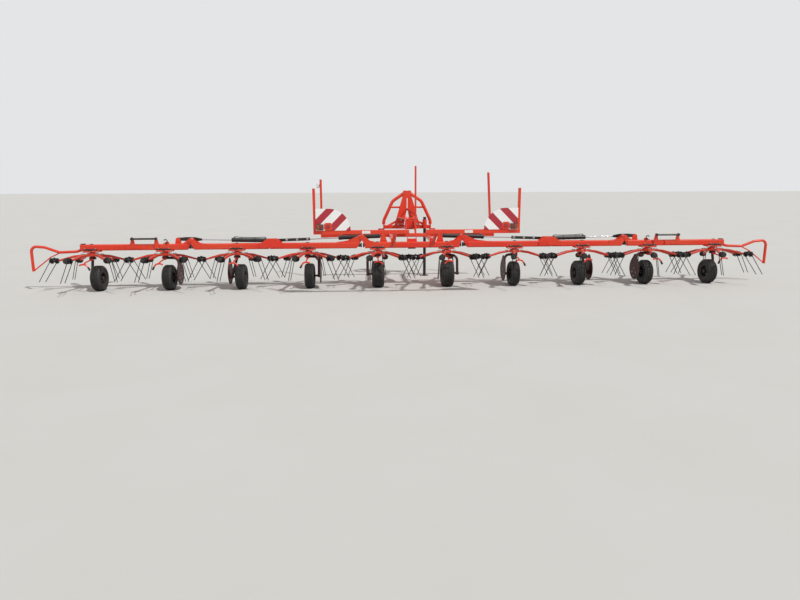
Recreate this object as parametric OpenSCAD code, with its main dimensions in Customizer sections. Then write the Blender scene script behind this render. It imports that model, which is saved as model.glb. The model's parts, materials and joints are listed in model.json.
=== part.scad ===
// Mounted hay tedder: a folding beam carries ten tined rotors, each over its own wheel.
// +X runs along the beam, +Y is the way it travels, +Z is up, and the tyres stand on Z = 0.

/* [Rotors] */
// Distance between neighbouring rotor axes
rotor_spacing = 1080; // [1060:5:1120]
// Height of the rotor hubs above the ground
hub_z = 540; // [530:5:560]
// Forward lean of the rotors in work, degrees
rotor_tilt = 6; // [4:0.5:8]
// Arms on each rotor
arm_count = 6; // [6:1:6]
// Radius at which the pairs of spring coils sit
coil_circle_r = 516; // [500:2:525]
// Radius of the circle through the outer tines' tips
tip_circle_r = 725; // [710:5:735]
// Depth of the tine tips below the hub
tine_drop = 400; // [380:5:410]
// Radius of a hub dish
dish_r = 160; // [140:2:175]
// Width of an arm
arm_w = 42; // [36:1:46]
// Height of an arm
arm_h = 34; // [30:1:36]
// Drop of the arm's end below the hub
arm_drop = 92; // [80:1:100]
// Outer radius of a spring coil
coil_r = 43; // [40:1:46]
// Length of one spring coil
coil_len = 48; // [44:1:50]
// Distance between a pair's tines, measured at the coils
tine_gap = 98; // [94:1:100]
// Radius of the tine wire
tine_r = 5; // [4:0.25:6]

/* [Columns and wheels] */
// Radius of the fixed column on which a rotor turns
column_r = 38; // [34:1:42]
// Distance of the wheel axles behind the rotor axes
axle_back = 100; // [85:5:115]
// Radius of a wing tyre
tyre_r = 190; // [185:1:200]
// Width of a wing tyre
tyre_w = 150; // [142:1:158]
// Radius of a centre tyre
centre_tyre_r = 205; // [200:0.5:210]
// Width of a centre tyre
centre_tyre_w = 190; // [180:1:198]
// Radius of the rims under the tyre beads
rim_r = 95; // [92:0.2:98]
// Radius of the axle stubs
axle_r = 15; // [12:0.5:18]
// Radius of the wheel leg tubes
leg_r = 20; // [17:0.5:24]
// Room between a tyre and its leg
leg_gap = 45; // [35:1:50]
// Room between an end tyre and its leg
end_leg_gap = 12; // [10:1:20]
// Distance by which the wheels next to the middle ones sit inboard of their rotors
inner_wheel_inset = 30; // [0:5:40]
// Distance by which the next two wheels on each side sit inboard of their rotors
wing_wheel_inset = 70; // [50:5:75]
// Distance by which the end wheels sit inboard of their rotors
end_wheel_inset = 110; // [100:5:120]
// Radius of the wrap shields beside the wheels
shield_r = 170; // [160:1:180]
// Height of the wrap shields' tops
shield_top = 475; // [460:1:480]

/* [Beam] */
// Width of the beam tubes, front to back
beam_w = 100; // [80:2:100]
// Height of the beam tubes
beam_h = 90; // [85:1:95]
// Height of the beam tubes' underside
beam_z = 600; // [597:1:610]
// Distance of the inner fold hinge outboard of the centre rotor
fold_in_dx = 240; // [230:5:250]
// Height of the inner fold hinge
fold_in_z = 770; // [765:1:780]
// Distance of the outer fold hinge outboard of its rotor
fold_out_dx = 680; // [675:5:690]
// Height of the outer fold hinge
fold_out_z = 746; // [745:1:752]
// Distance of the tip hinge outboard of its rotor
tip_hinge_dx = 370; // [360:5:380]
// Radius of the fold hinge pins
fold_pin_r = 20; // [16:1:24]
// Radius of the ground-following hinge pins
float_pin_r = 16; // [12:1:20]
// Thickness of the hinge ears
ear_t = 14; // [10:1:16]
// Radius of the end bow's tube
bow_r = 21; // [17:1:25]
// Distance of the end bow's upright outboard of the end rotor
bow_dx = 890; // [880:5:920]

/* [Fold cylinders] */
// Distance of the cylinders' middle plane in front of the rotor line
cyl_y = 105; // [103:1:112]
// Outer radius of the cylinder barrels
barrel_r = 32; // [26:1:34]
// Radius of the piston rods
piston_r = 11; // [9:0.5:11.5]
// Radius of the cylinder pins
cyl_pin_r = 14; // [11:0.5:16]
// Thickness of the eyes
eye_t = 24; // [20:1:26]
// Distance of the inner cylinder's base pin from the middle
cyl_base_x = 450; // [440:5:470]
// Height of the inner cylinder's base pin
cyl_base_z = 775; // [770:5:785]
// Height of the cylinder pins over the wings
cyl_pin_z = 720; // [716:1:725]
// Length of an inner barrel
inner_barrel_len = 680; // [660:5:690]
// Length of an outer barrel
outer_barrel_len = 580; // [576:1:584]

/* [Guard frame] */
// Distance of the rear rail behind the rotor line
rail_back = 920; // [915:5:940]
// Height of the rear rail's middle
rail_z = 920; // [910:5:940]
// Size of the rear rail's square tube
rail_s = 56; // [50:1:60]
// Half width of the rear rail
rail_half = 1450; // [1430:10:1500]
// Height of the rear posts' tops
rear_post_top = 1520; // [1500:10:1650]
// Distance of the front rail ahead of the rotor line
front_rail_y = 850; // [830:5:870]
// Half width of the front rail
front_half = 1470; // [1440:10:1490]
// Height of the front posts' tops
front_post_top = 1760; // [1700:10:1800]
// Size of the posts' square tube
post_s = 36; // [32:1:42]
// Height of the centre pole's top
pole_top = 1820; // [1700:10:1950]

/* [Headstock] */
// Distance of the headstock's swivel ahead of the rotor line
swivel_y = 560; // [540:5:580]
// Radius of the swivel pin
swivel_r = 28; // [24:1:32]
// Distance of the headstock's arch ahead of the rotor line
arch_y = 1100; // [1090:5:1120]
// Height of the lower hitch pins
hitch_z = 800; // [790:5:810]
// Height of the top link bore above the lower hitch pins
mast_h = 605; // [595:5:625]
// Distance from the middle to the shoulders of the lower hitch pins
hitch_half = 412.5; // [405:0.5:420]
// Radius of the lower hitch pins
hitch_pin_r = 14; // [13:0.5:18]
// Radius of the top link bore
top_bore_r = 12.8; // [12:0.1:16]
// Radius of the power input stub
input_r = 17.45; // [15:0.05:22]
// Radius of the parking stand's tube
stand_r = 25; // [20:1:28]
// Distance of the parking stand from the middle
stand_x = 300; // [280:5:320]

/* [Hidden] */
$fn = 32;
run_clear = 0.06;      // radial room of a shaft in its bore
side_clear = 1;        // room beside an eye or knuckle
line_clear = 5;        // least room between pieces that pass each other
hub_clear = 6;         // room above and below a rotor hub
pin_head = 10;         // how far a pin's head stands out past its bore
head_t = 8;            // thickness of a pin's head
chamfer = 12;          // corner cut on the beam tubes
plate_t = 12;          // thickness of frame plates
tube_lap = 2;          // how far a tube's straight lengths lap over its bends
bend_step = 0.4;       // how much thinner a tube is at its bends
front_reach = 1200;    // foremost point, from the rotor line
lamp_depth = 52;       // depth of the tail lamps
rear_reach = rail_back + rail_s / 2 + lamp_depth;
line_y = -(front_reach - rear_reach) / 2;

beam_top = beam_z + beam_h;
beam_mid = beam_z + beam_h / 2;
fold_in_x = rotor_spacing / 2 + fold_in_dx;
float_x = rotor_spacing * 2;
fold_out_x = rotor_spacing * 2.5 + fold_out_dx;
tip_hinge_x = rotor_spacing * 3.5 + tip_hinge_dx;
end_x = rotor_spacing * 4.5;
bow_x = end_x + bow_dx;

// Stations from the middle outwards. Columns: place in rotor spacings, wheel's offset outboard,
// side of the leg (1 is outboard), 1 for a wrap shield, tyre radius, tyre width, room beside the tyre
STATIONS = [
    [0.5, 0, 1, 0, centre_tyre_r, centre_tyre_w, leg_gap],
    [1.5, -inner_wheel_inset, -1, 1, tyre_r, tyre_w, leg_gap],
    [2.5, -wing_wheel_inset, 1, 1, tyre_r, tyre_w, leg_gap],
    [3.5, -wing_wheel_inset, -1, 1, tyre_r, tyre_w, leg_gap],
    [4.5, -end_wheel_inset, 1, 0, tyre_r, tyre_w, end_leg_gap],
];
ROTOR_COUNT = 2 * len(STATIONS);

// Geometry helpers

function unit(v) = v / norm(v);
function across(d) = abs(d.z) > 0.9 * norm(d) ? [1, 0, 0] : unit(cross([0, 0, 1], d));

// Puts the children's origin at o, their +X along x and their +Z along z
module placed(o, x, z) {
    y = cross(z, x);
    multmatrix([
        [x.x, y.x, z.x, o.x],
        [x.y, y.y, z.y, o.y],
        [x.z, y.z, z.z, o.z],
        [0, 0, 0, 1],
    ]) children();
}

// Round rod from a to b
module rod(a, b, r) {
    d = unit(b - a);
    x = across(d);
    placed(a, unit(x - d * (x * d)), d) cylinder(h = norm(b - a), r = r);
}

// Round rod with a hole or pin along X or Y, centred on p
module rod_x(p, r, l) translate(p) rotate([0, 90, 0]) cylinder(h = l, r = r, center = true);
module rod_y(p, r, l) translate(p) rotate([90, 0, 0]) cylinder(h = l, r = r, center = true);

// Rectangular bar from a to b: w wide, h high, with its corners cut by c
module bar(a, b, w, h, c = 0) {
    d = unit(b - a);
    placed(a, across(d), d) linear_extrude(height = norm(b - a)) cut_rect(w, h, c);
}

module cut_rect(w, h, c) {
    x = w / 2;
    y = h / 2;
    polygon(c == 0 ? [[-x, -y], [x, -y], [x, y], [-x, y]] : [
        [-x + c, -y], [x - c, -y], [x, -y + c], [x, y - c],
        [x - c, y], [-x + c, y], [-x, y - c], [-x, -y + c],
    ]);
}

// Flat plate in the XZ plane, from y0 to y1, with an outline of [x, z] points
module plate_xz(outline, y0, y1) {
    translate([0, y1, 0]) rotate([90, 0, 0]) linear_extrude(height = y1 - y0) polygon(outline);
}

// Round tube along a list of points, with its corners rounded by bend. The straight lengths lap over the
// bends, which are drawn a little thinner.
module tube_path(points, r, bend) {
    last = len(points) - 1;
    function dir(i) = unit(points[i + 1] - points[i]);
    function turn(i) = acos(dir(i - 1) * dir(i));
    function trim(i) = i == 0 || i == last ? 0 : bend * tan(turn(i) / 2) - tube_lap;
    for (i = [0 : last - 1]) {
        rod(points[i] + dir(i) * trim(i), points[i + 1] - dir(i) * trim(i + 1), r);
    }
    for (i = [1 : 1 : last - 1]) {
        u = dir(i - 1);
        n = unit(cross(u, dir(i)));
        inward = cross(n, u);
        placed(points[i] - u * (trim(i) + tube_lap) + inward * bend, -inward, n)
            rotate_extrude(angle = turn(i)) translate([bend, 0]) circle(r = r - bend_step);
    }
}

// A pair of plates on both sides of the middle plane, from |y| = y0 to y0 + t
module ears(outline, y0, t) {
    plate_xz(outline, y0, y0 + t);
    plate_xz(outline, -y0 - t, -y0);
}

// A headed pin along Y, with its heads just past |y| = reach
module headed_pin(x, z, r, reach) {
    rod_y([x, 0, z], r, 2 * reach);
    for (s = [-1, 1]) rod_y([x, s * (reach + head_t / 2), z], r + pin_head, head_t);
}

// Places the right half's pieces, or their mirror image on the left
module side(s) {
    translate([0, line_y, 0]) scale_x(s) children();
}
module scale_x(s) {
    if (s > 0) children();
    else mirror([1, 0, 0]) children();
}

// Rotors

module rotor_axis(x) translate([x, 0, hub_z]) rotate([-rotor_tilt, 0, 0]) children();

hub_top = 22;
hub_bottom = -35;
boss_r = column_r + 34;
arm_root = dish_r - 50;
arm_knee = 250;
knee_drop = 14;
rest_angle = 90 / arm_count;      // angle of every rotor at rest, at which neighbours pass each other

module rotor(i) {
    color("orangered") side(1) rotor_axis((i - (ROTOR_COUNT + 1) / 2) * rotor_spacing)
        rotate(rest_angle) rotor_body(i % 2 == 1 ? 1 : -1);
}

// Rotor whose tines trail on the side w of their arms
module rotor_body(w) {
    rotate_extrude() polygon([
        [column_r + run_clear, hub_bottom], [boss_r, hub_bottom], [boss_r + 8, hub_bottom + 18],
        [dish_r, -26], [dish_r, -12], [boss_r + 10, 4], [boss_r, hub_top], [column_r + run_clear, hub_top],
    ]);
    for (k = [0 : arm_count - 1]) rotate(k * 360 / arm_count) arm(w);
}

coil_in = coil_circle_r - tine_gap / 2 - tine_r;       // radius at which the inner coil starts
coil_out = coil_circle_r + tine_gap / 2 + tine_r;      // radius at which the outer coil ends
tip_gap_r = 0.85 * tine_gap;                           // distance between a pair's tips

// Arm with a pair of spring coils along it, and the tine of each
module arm(w) {
    rotate([90, 0, 0]) linear_extrude(height = arm_w, center = true) polygon([
        [arm_root, -arm_h / 2 - 14], [arm_root, arm_h / 2 - 14], [arm_knee, arm_h / 2 - 14 - knee_drop],
        [coil_in + 10, arm_h / 2 - 4 - arm_drop], [coil_in + 10, -arm_h / 2 + 4 - arm_drop],
        [arm_knee, -arm_h / 2 - 14 - knee_drop],
    ]);
    rod([coil_in - 8, 0, -arm_drop], [coil_out + 8, 0, -arm_drop], coil_r * 0.6);
    rod([coil_in, 0, -arm_drop], [coil_in + coil_len, 0, -arm_drop], coil_r);
    rod([coil_out - coil_len, 0, -arm_drop], [coil_out, 0, -arm_drop], coil_r);
    y = w * (coil_r - tine_r);
    for (e = [0, 1]) {
        rod([coil_circle_r + (e - 0.5) * tine_gap, y, -arm_drop],
            [tip_circle_r - (1 - e) * tip_gap_r, y, -tine_drop], tine_r);
    }
}

// Gearbox, column, wheel leg and axle of one station

leg_root = hub_bottom - 27;
column_end = leg_root - 14;
leg_head_r = column_r + 12;
axle_boss_r = axle_r + 11;
leg_bend = 85;
gearbox_r = 82;

function station_x(k) = STATIONS[k][0] * rotor_spacing;
function wheel_x(k) = station_x(k) + STATIONS[k][1];
function leg_x(k) = wheel_x(k) + STATIONS[k][2] * (STATIONS[k][5] / 2 + STATIONS[k][6] + leg_r);

module station(k) {
    x = station_x(k);
    axle = [leg_x(k), -axle_back, STATIONS[k][4]];
    root = [x, sin(rotor_tilt) * leg_root, hub_z + cos(rotor_tilt) * leg_root];
    rotor_axis(x) {
        translate([0, 0, column_end]) cylinder(h = beam_mid - hub_z - column_end, r = column_r);
        translate([0, 0, hub_top + hub_clear]) cylinder(h = beam_z - hub_z - hub_top, r = gearbox_r);
        translate([0, 0, column_end]) cylinder(h = hub_bottom - hub_clear - column_end, r = leg_head_r);
    }
    translate([x - 95, -70, beam_z - 16]) cube([190, 140, 40]);
    if (abs(leg_x(k) - x) > leg_bend) {
        tube_path([root, [leg_x(k), (root.y - axle_back) / 2, root.z], axle], leg_r, leg_bend);
    } else {
        rod(root, axle, leg_r);
    }
    rod_x(axle, axle_boss_r, 2 * leg_r + 4);
    rod_x([(axle.x + wheel_x(k)) / 2, axle.y, axle.z], axle_r, abs(axle.x - wheel_x(k)));
    rod_x([wheel_x(k), axle.y, axle.z], axle_r, rim_hub_w(k));
    far = wheel_x(k) - STATIONS[k][2] * (rim_hub_w(k) / 2 + head_t / 2 + side_clear);
    rod_x([far, axle.y, axle.z], axle_r + pin_head, head_t);
    rod_x([(far + wheel_x(k)) / 2, axle.y, axle.z], axle_r, abs(far - wheel_x(k)));
    if (STATIONS[k][3] == 1) {
        shield(axle.x + STATIONS[k][2] * (leg_r + 6), axle.y);
        rod_x([axle.x + STATIONS[k][2] * (leg_r + 2), axle.y, axle.z], axle_boss_r + 20, 8);
    }
}

// Drop-shaped wrap shield at x, with its point up
module shield(x, y) {
    z = shield_foot + shield_r;
    tip = 45;
    placed([x - 2.5, 0, 0], [0, 1, 0], [1, 0, 0]) linear_extrude(height = 5) {
        translate([y, z]) circle(r = shield_r);
        translate([y, shield_top - tip]) circle(r = tip);
        polygon([[y - shield_r + 5, z + 14], [y + shield_r - 5, z + 14], [y + tip - 3, shield_top - tip + 14],
            [y - tip + 3, shield_top - tip + 14]]);
    }
}
shield_foot = 80;      // height of the shields' lowest point

// Wheels

function rim_w(k) = STATIONS[k][5] * 0.8;
function rim_hub_w(k) = rim_w(k) - 16;
function wheel_station(i) = i > len(STATIONS) ? i - len(STATIONS) - 1 : len(STATIONS) - i;
function wheel_side(i) = i > len(STATIONS) ? 1 : -1;

module wheel_place(i) {
    k = wheel_station(i);
    side(wheel_side(i)) translate([wheel_x(k), -axle_back, STATIONS[k][4]]) rotate([0, 90, 0]) children();
}

bead_h = 10;
flange_t = 5;

module tyre(i) {
    k = wheel_station(i);
    r = STATIONS[k][4];
    h = STATIONS[k][5] / 2;
    bead = rim_w(k) / 2 - flange_t;
    wall = r - rim_r - bead_h;
    half = [
        [rim_r, bead], [rim_r + bead_h + 2, bead], [rim_r + bead_h + wall * 0.3, h - 2],
        [rim_r + bead_h + wall * 0.55, h], [r - wall * 0.25, h - 5], [r - 7, h - 22], [r, h * 0.45],
    ];
    color("dimgray") wheel_place(i)
        rotate_extrude() polygon(concat(half, [for (j = [len(half) - 1 : -1 : 0]) [half[j].x, -half[j].y]]));
}

module rim(i) {
    k = wheel_station(i);
    h = rim_w(k) / 2;
    well = rim_r - 6;
    hub = rim_hub_w(k) / 2;
    color("silver") wheel_place(i) rotate_extrude() polygon([
        [axle_r + run_clear, -hub], [axle_r + 14, -hub], [axle_r + 14, -4], [well, -4],
        [well, -h], [rim_r + bead_h, -h], [rim_r + bead_h, -h + flange_t], [rim_r, -h + flange_t],
        [rim_r, h - flange_t], [rim_r + bead_h, h - flange_t], [rim_r + bead_h, h], [well, h],
        [well, 4], [axle_r + 14, 4], [axle_r + 14, hub], [axle_r + run_clear, hub],
    ]);
}

// Beam hinges

knuckle_w = 80;                              // width of a fold hinge's knuckle
fold_ear_y = knuckle_w / 2 + side_clear;     // inner face of a fold hinge's ears
fold_eye_r = 38;                             // outer radius of a fold hinge's eyes
float_ear_y = beam_w / 2 + 1.5;              // inner face of a ground-following hinge's ears
tube_end = 40;                               // distance of a beam tube's end from its fold hinge

module beam(x0, x1) bar([x0, 0, beam_mid], [x1, 0, beam_mid], beam_w, beam_h, chamfer);

// Ears and pin on the inboard side of the inner fold hinge
module fold_in_ears() {
    x = fold_in_x;
    z = fold_in_z;
    ears([[x - 230, beam_z + 10], [x - tube_end - 4, beam_z + 10], [x - 30, beam_top - 10], [x + 30, z - 22],
        [x + 18, z + 32], [x - 32, z + 20], [x - 120, beam_top + 20], [x - 230, beam_top - 5]],
        fold_ear_y, ear_t);
    for (s = [-1, 1]) rod_y([x, s * (fold_ear_y + ear_t / 2), z], fold_eye_r, ear_t);
    headed_pin(x, z, fold_pin_r, fold_ear_y + ear_t);
}

// Inboard end of a wing at the inner fold hinge
module fold_in_knuckle() {
    x = fold_in_x;
    z = fold_in_z;
    difference() {
        union() {
            plate_xz([[x - 6, z - 34], [x + 85, beam_z], [x + 420, beam_z], [x + 420, beam_top],
                [x + 230, beam_top + 24], [x + 20, z + 32]], -knuckle_w / 2, knuckle_w / 2);
            rod_y([x, 0, z], fold_eye_r - 2, knuckle_w);
        }
        rod_y([x, 0, z], fold_pin_r + run_clear, beam_w);
    }
}

// Outboard end of a middle wing at the outer fold hinge: ears and pin
module fold_out_ears() {
    x = fold_out_x;
    z = fold_out_z;
    ears([[x - 260, beam_z + 10], [x - tube_end - 12, beam_z + 10], [x + 12, z - 26], [x - 10, z + 24],
        [x - 120, beam_top + 6], [x - 260, beam_top - 5]], fold_ear_y, ear_t);
    for (s = [-1, 1]) rod_y([x, s * (fold_ear_y + ear_t / 2), z], fold_eye_r - 10, ear_t);
    headed_pin(x, z, fold_pin_r, fold_ear_y + ear_t);
}

// Inboard end of an outer wing at the outer fold hinge
module fold_out_knuckle() {
    x = fold_out_x;
    z = fold_out_z;
    difference() {
        union() {
            plate_xz([[x + tube_end + 12, beam_z], [x + 260, beam_z], [x + 260, beam_top],
                [x + 120, beam_top + 6], [x + 10, z + 26], [x - 12, z - 24]], -knuckle_w / 2, knuckle_w / 2);
            rod_y([x, 0, z], fold_eye_r - 10, knuckle_w);
        }
        rod_y([x, 0, z], fold_pin_r + run_clear, beam_w);
    }
}

// Side plates that run over a ground-following hinge at x, with the hinge's pin. They are welded to the
// tube outboard of it.
module float_ears(x, outline) {
    x0 = x + float_eye + tip_gap + 4;
    ears(outline, float_ear_y, ear_t);
    ears([[x0, beam_z + 22], [x0 + 120, beam_z + 22], [x0 + 120, beam_top - 16], [x0, beam_top - 16]],
        beam_w / 2 - 1, float_ear_y - beam_w / 2 + 2);
    headed_pin(x, beam_mid, float_pin_r, float_ear_y + ear_t);
}

module float_bore(x) rod_y([x, 0, beam_mid], float_pin_r + run_clear, 2 * beam_w);

tip_gap = 18;           // distance of a tube's end from a ground-following hinge's pin, on its own side
float_eye = 30;         // how far a tube runs past a ground-following hinge's pin

// Wings, from the middle outwards

module wing_4(s) color("orangered") side(s) {
    difference() {
        beam(fold_in_x + 85, float_x + float_eye);
        float_bore(float_x);
    }
    fold_in_knuckle();
    station(1);
}

eye_in_x = float_x - 50;       // pin of the inner cylinder's rod
eye_out_x = float_x + 50;      // base pin of the outer cylinder
cyl_spacer_r = cyl_pin_r + 10;
cyl_face = cyl_y - eye_t / 2 - 0.5;      // face against which a cylinder's eye lies

module wing_3(s) color("orangered") side(s) {
    beam(float_x + float_eye + tip_gap, fold_out_x - tube_end - 10);
    float_ears(float_x, [[float_x - 165, beam_z + 20], [float_x + 190, beam_z + 20],
        [float_x + 190, beam_top - 12], [float_x + 78, cyl_pin_z + 34], [float_x - 78, cyl_pin_z + 34],
        [float_x - 165, beam_top - 12]]);
    cylinder_pins();
    fold_out_ears();
    station(2);
}

// Pins that stand forward from the bracket, for the inner cylinder's rod and the outer cylinder's barrel
module cylinder_pins() {
    y0 = float_ear_y + ear_t;
    for (x = [eye_in_x, eye_out_x]) {
        rod_y([x, (y0 - 2 + cyl_face) / 2, cyl_pin_z], cyl_spacer_r, cyl_face - y0 + 2);
    }
    base_pin(eye_out_x, cyl_pin_z);
}

// Stub on which a barrel's base eye turns, with its head
module base_pin(x, z) {
    y1 = cyl_y + eye_t / 2 + side_clear;
    rod_y([x, (cyl_face + y1) / 2, z], cyl_pin_r, y1 - cyl_face + 2);
    rod_y([x, y1 + head_t / 2, z], cyl_pin_r + pin_head, head_t);
}

rod_eye_x = fold_out_x + 220;      // pin of the outer cylinder's rod
rod_eye_z = fold_out_z + 4;

module wing_2(s) color("orangered") side(s) {
    x = rod_eye_x;
    fold_out_knuckle();
    difference() {
        beam(fold_out_x + tube_end + 10, tip_hinge_x + float_eye);
        float_bore(tip_hinge_x);
    }
    plate_xz([[x - 60, beam_z + 20], [x + 60, beam_z + 20], [x + 34, rod_eye_z + 10], [x + 10, rod_eye_z + 26],
        [x - 10, rod_eye_z + 26], [x - 34, rod_eye_z + 10]], cyl_face - plate_t, cyl_face);
    bar([x, beam_w / 2 - 2, beam_mid], [x, cyl_face - plate_t + 2, beam_mid], 100, 60);
    damper_lug(tip_hinge_x - damper_in);
    station(3);
}

damper_y = -85;
damper_z = beam_top + 85;
damper_in = 270;         // distance of the damper's inner eye inboard of the tip hinge
damper_out = 82;         // distance of its outer eye outboard of the hinge

// Lug for the damper over the tip hinge
module damper_lug(x) {
    plate_xz([[x - 40, beam_top - 20], [x + 40, beam_top - 20], [x + 14, damper_z + 22], [x - 14, damper_z + 22]],
        damper_y + 16, damper_y + 16 + plate_t);
    bar([x, damper_y + 17, beam_top - 40], [x, -beam_w / 2 + 2, beam_top - 40], 60, 40);
}

module wing_1(s) color("orangered") side(s) {
    beam(tip_hinge_x + float_eye + tip_gap, end_x + 150);
    float_ears(tip_hinge_x, [[tip_hinge_x - 120, beam_z + 18], [tip_hinge_x + 190, beam_z + 18],
        [tip_hinge_x + 190, beam_top - 12], [tip_hinge_x - 120, beam_top - 12]]);
    damper_lug(tip_hinge_x + damper_out);
    rod([tip_hinge_x - damper_in, damper_y, damper_z], [tip_hinge_x + damper_out, damper_y, damper_z], 14);
    rod_y([tip_hinge_x - damper_in, damper_y, damper_z], 20, 31);
    rod_y([tip_hinge_x + damper_out, damper_y + 2, damper_z], 20, 35);
    station(4);
    bow();
}

bow_foot_z = 290;
bow_top_z = 672;

// Tube bow round the end rotor
module bow() {
    tube_path([[end_x + 110, 0, beam_z + 24], [end_x + 230, 0, beam_z - 16], [end_x + 480, 0, beam_z - 26],
        [end_x + 690, 0, bow_top_z - 20], [bow_x, 0, bow_top_z], [bow_x, 0, bow_foot_z]], bow_r, 80);
    tube_path([[bow_x, 0, bow_foot_z + 4], [end_x + 620, 0, beam_z - 100], [end_x + 470, 0, beam_z - 28]], 9, 60);
}

// Centre frame

arm_x = 300;                // distance of the frame's fore-and-aft arms from the middle
arm_s = 60;                 // size of the fore-and-aft arms
arm_z = beam_top + arm_s / 2;
bush_z0 = 862;              // bottom of the swivel bush
bush_z1 = 1000;             // top of the swivel bush
bush_r = 55;

module centre_frame() color("orangered") side(1) {
    beam(-(fold_in_x - tube_end - 4), fold_in_x - tube_end - 4);
    for (s = [-1, 1]) scale_x(s) {
        fold_in_ears();
        station(0);
        inner_cylinder_mount();
        bar([arm_x, -beam_w / 2, arm_z], [arm_x, front_rail_y - rail_s / 2, arm_z], arm_s, arm_s, 6);
    }
    pedestal();
}

// Plate that carries an inner cylinder's base pin
module inner_cylinder_mount() {
    x = cyl_base_x;
    z = cyl_base_z;
    plate_xz([[x - 90, beam_z + 10], [x + 70, beam_z + 10], [x + 34, z], [x + 14, z + 32], [x - 14, z + 32],
        [x - 34, z]], cyl_face - plate_t, cyl_face);
    bar([x - 10, beam_w / 2 - 2, beam_mid], [x - 10, cyl_face - plate_t + 2, beam_mid], 120, 60);
    base_pin(x, z);
}

// Box that carries the headstock's swivel bush
module pedestal() {
    difference() {
        union() {
            for (s = [-1, 1]) {
                translate([s * 70 - plate_t / 2, 0, 0]) placed([0, 0, 0], [0, 1, 0], [1, 0, 0])
                    linear_extrude(height = plate_t) polygon([[40, beam_z + 20], [120, beam_z + 150],
                        [swivel_y - 70, bush_z0 + 8], [swivel_y, bush_z0 + 8], [swivel_y, bush_z1 - 8], [swivel_y - 120, bush_z1 - 8],
                        [40, beam_top + 40]]);
            }
            translate([0, swivel_y, bush_z0]) cylinder(h = bush_z1 - bush_z0, r = bush_r);
            translate([-76, swivel_y - 60, bush_z0 + 8]) cube([152, 60, bush_z1 - bush_z0 - 16]);
            translate([-76, 30, beam_top - 10]) cube([152, 90, 50]);
        }
        translate([0, swivel_y, bush_z0 - 5]) cylinder(h = bush_z1 - bush_z0 + 10, r = swivel_r + run_clear);
    }
}

// Angle gearbox in front of the beam, with its input stub
module main_gearbox() color("dimgray") side(1) {
    y0 = beam_w / 2 + 0.3;
    translate([-58, y0, beam_z - 25]) cube([116, 190, beam_top - beam_z + 14.7]);
    rod_y([0, y0 + 205, beam_mid - 28], 50, 70);
    rod_y([0, y0 + 280, beam_mid - 28], input_r, 120);
}

// Rear guard rail with its posts, arms and pole
pole_x = -30;
module rear_rail() color("orangered") side(1) {
    for (s = [-1, 1]) scale_x(s) {
        bar([120, -rail_back, rail_z], [rail_half, -rail_back, rail_z], rail_s, rail_s, 6);
        bar([rail_half - post_s / 2, -rail_back, rail_z], [rail_half - post_s / 2, -rail_back, rear_post_top],
            post_s, post_s, 4);
        tube_path([[arm_x, -rail_back + 20, rail_z], [arm_x, -rail_back + 250, rail_z - 20],
            [arm_x, -beam_w / 2 - 0.3 - 120, beam_mid + 20], [arm_x, -beam_w / 2 - 0.3, beam_mid + 20]], 25, 80);
    }
    bar([-170, -rail_back, rail_z - rail_s / 2 - 12], [170, -rail_back, rail_z - rail_s / 2 - 12], 40, 40, 4);
    rod([pole_x, -rail_back, rail_z - rail_s / 2], [pole_x, -rail_back, pole_top], 13);
}

// Front guard rail with its posts
front_rail_z = arm_z;

// Front posts: side, distance of the foot from the middle, lean inboard, how much lower the top is
FRONT_POSTS = [
    [-1, front_half - 20, 0, 110],
    [1, front_half - 58, 62, 0],
];
module front_rail() color("orangered") side(1) {
    bar([-front_half, front_rail_y + 0.3, front_rail_z], [front_half, front_rail_y + 0.3, front_rail_z],
        rail_s - 0.6, rail_s, 6);
    for (p = FRONT_POSTS) scale_x(p[0]) {
        bar([p[1], front_rail_y, front_rail_z], [p[1] - p[2], front_rail_y, front_post_top - p[3]],
            post_s, post_s, 4);
    }
}

// Warning boards on the rear posts: rectangles with one corner rounded off
board_w = 480;
board_h = 300;
board_t = 5;
module warning_boards() color("white") side(1) {
    y = -rail_back - rail_s / 2 - 0.3;
    z = rail_z + rail_s / 2 - 2;
    for (s = [-1, 1]) scale_x(s) translate([rail_half - post_s - board_w, y, z]) rotate([90, 0, 0])
        linear_extrude(height = board_t) intersection() {
            square([board_w, board_h]);
            union() {
                translate([board_h, 0]) circle(r = board_h);
                translate([board_h, 0]) square([board_w, board_h]);
            }
        }
}

// Tail lamps and reflector plates on the boards
module tail_lamps() color("darkred") side(1) {
    y = -rail_back - rail_s / 2 - 0.6 - board_t;
    for (s = [-1, 1]) scale_x(s) {
        z = rail_z + rail_s / 2 + 2;
        translate([rail_half - post_s - 108, y - lamp_depth + 8, z]) cube([105, lamp_depth - 8, 92]);
        translate([rail_half - post_s - 226, y - 12, z]) cube([112, 12, 98]);
    }
}

// Headstock

yoke_gap = 52;
top_z = hitch_z + mast_h;
fork_z0 = bush_z0 - side_clear;
fork_z1 = bush_z1 + side_clear;
fork_t = 16;
tower_foot = 235;       // half width of the tower's foot
tower_z = hitch_z + 15; // height of the tower's foot
tower_head = 70;        // half width of the tower's head
arch_r = 28;
stand_back = arch_r + stand_r + 2 * line_clear;     // distance of the parking stand behind the arch

module headstock() color("orangered") side(1) {
    difference() {
        union() {
            swivel_fork();
            tower();
            for (s = [-1, 1]) scale_x(s) {
                arch();
                lower_bracket();
            }
            bar([-hitch_half, arch_y, hitch_z + 45], [hitch_half, arch_y, hitch_z + 45], 70, 60, 8);
            translate([stand_x, arch_y - stand_back, hitch_z + 20]) cylinder(h = 150, r = stand_r + 12);
        }
        rod_x([0, arch_y + 68, top_z], top_bore_r, 300);
        translate([stand_x, arch_y - stand_back, hitch_z - 100]) cylinder(h = 400, r = stand_r + run_clear);
    }
}

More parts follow.
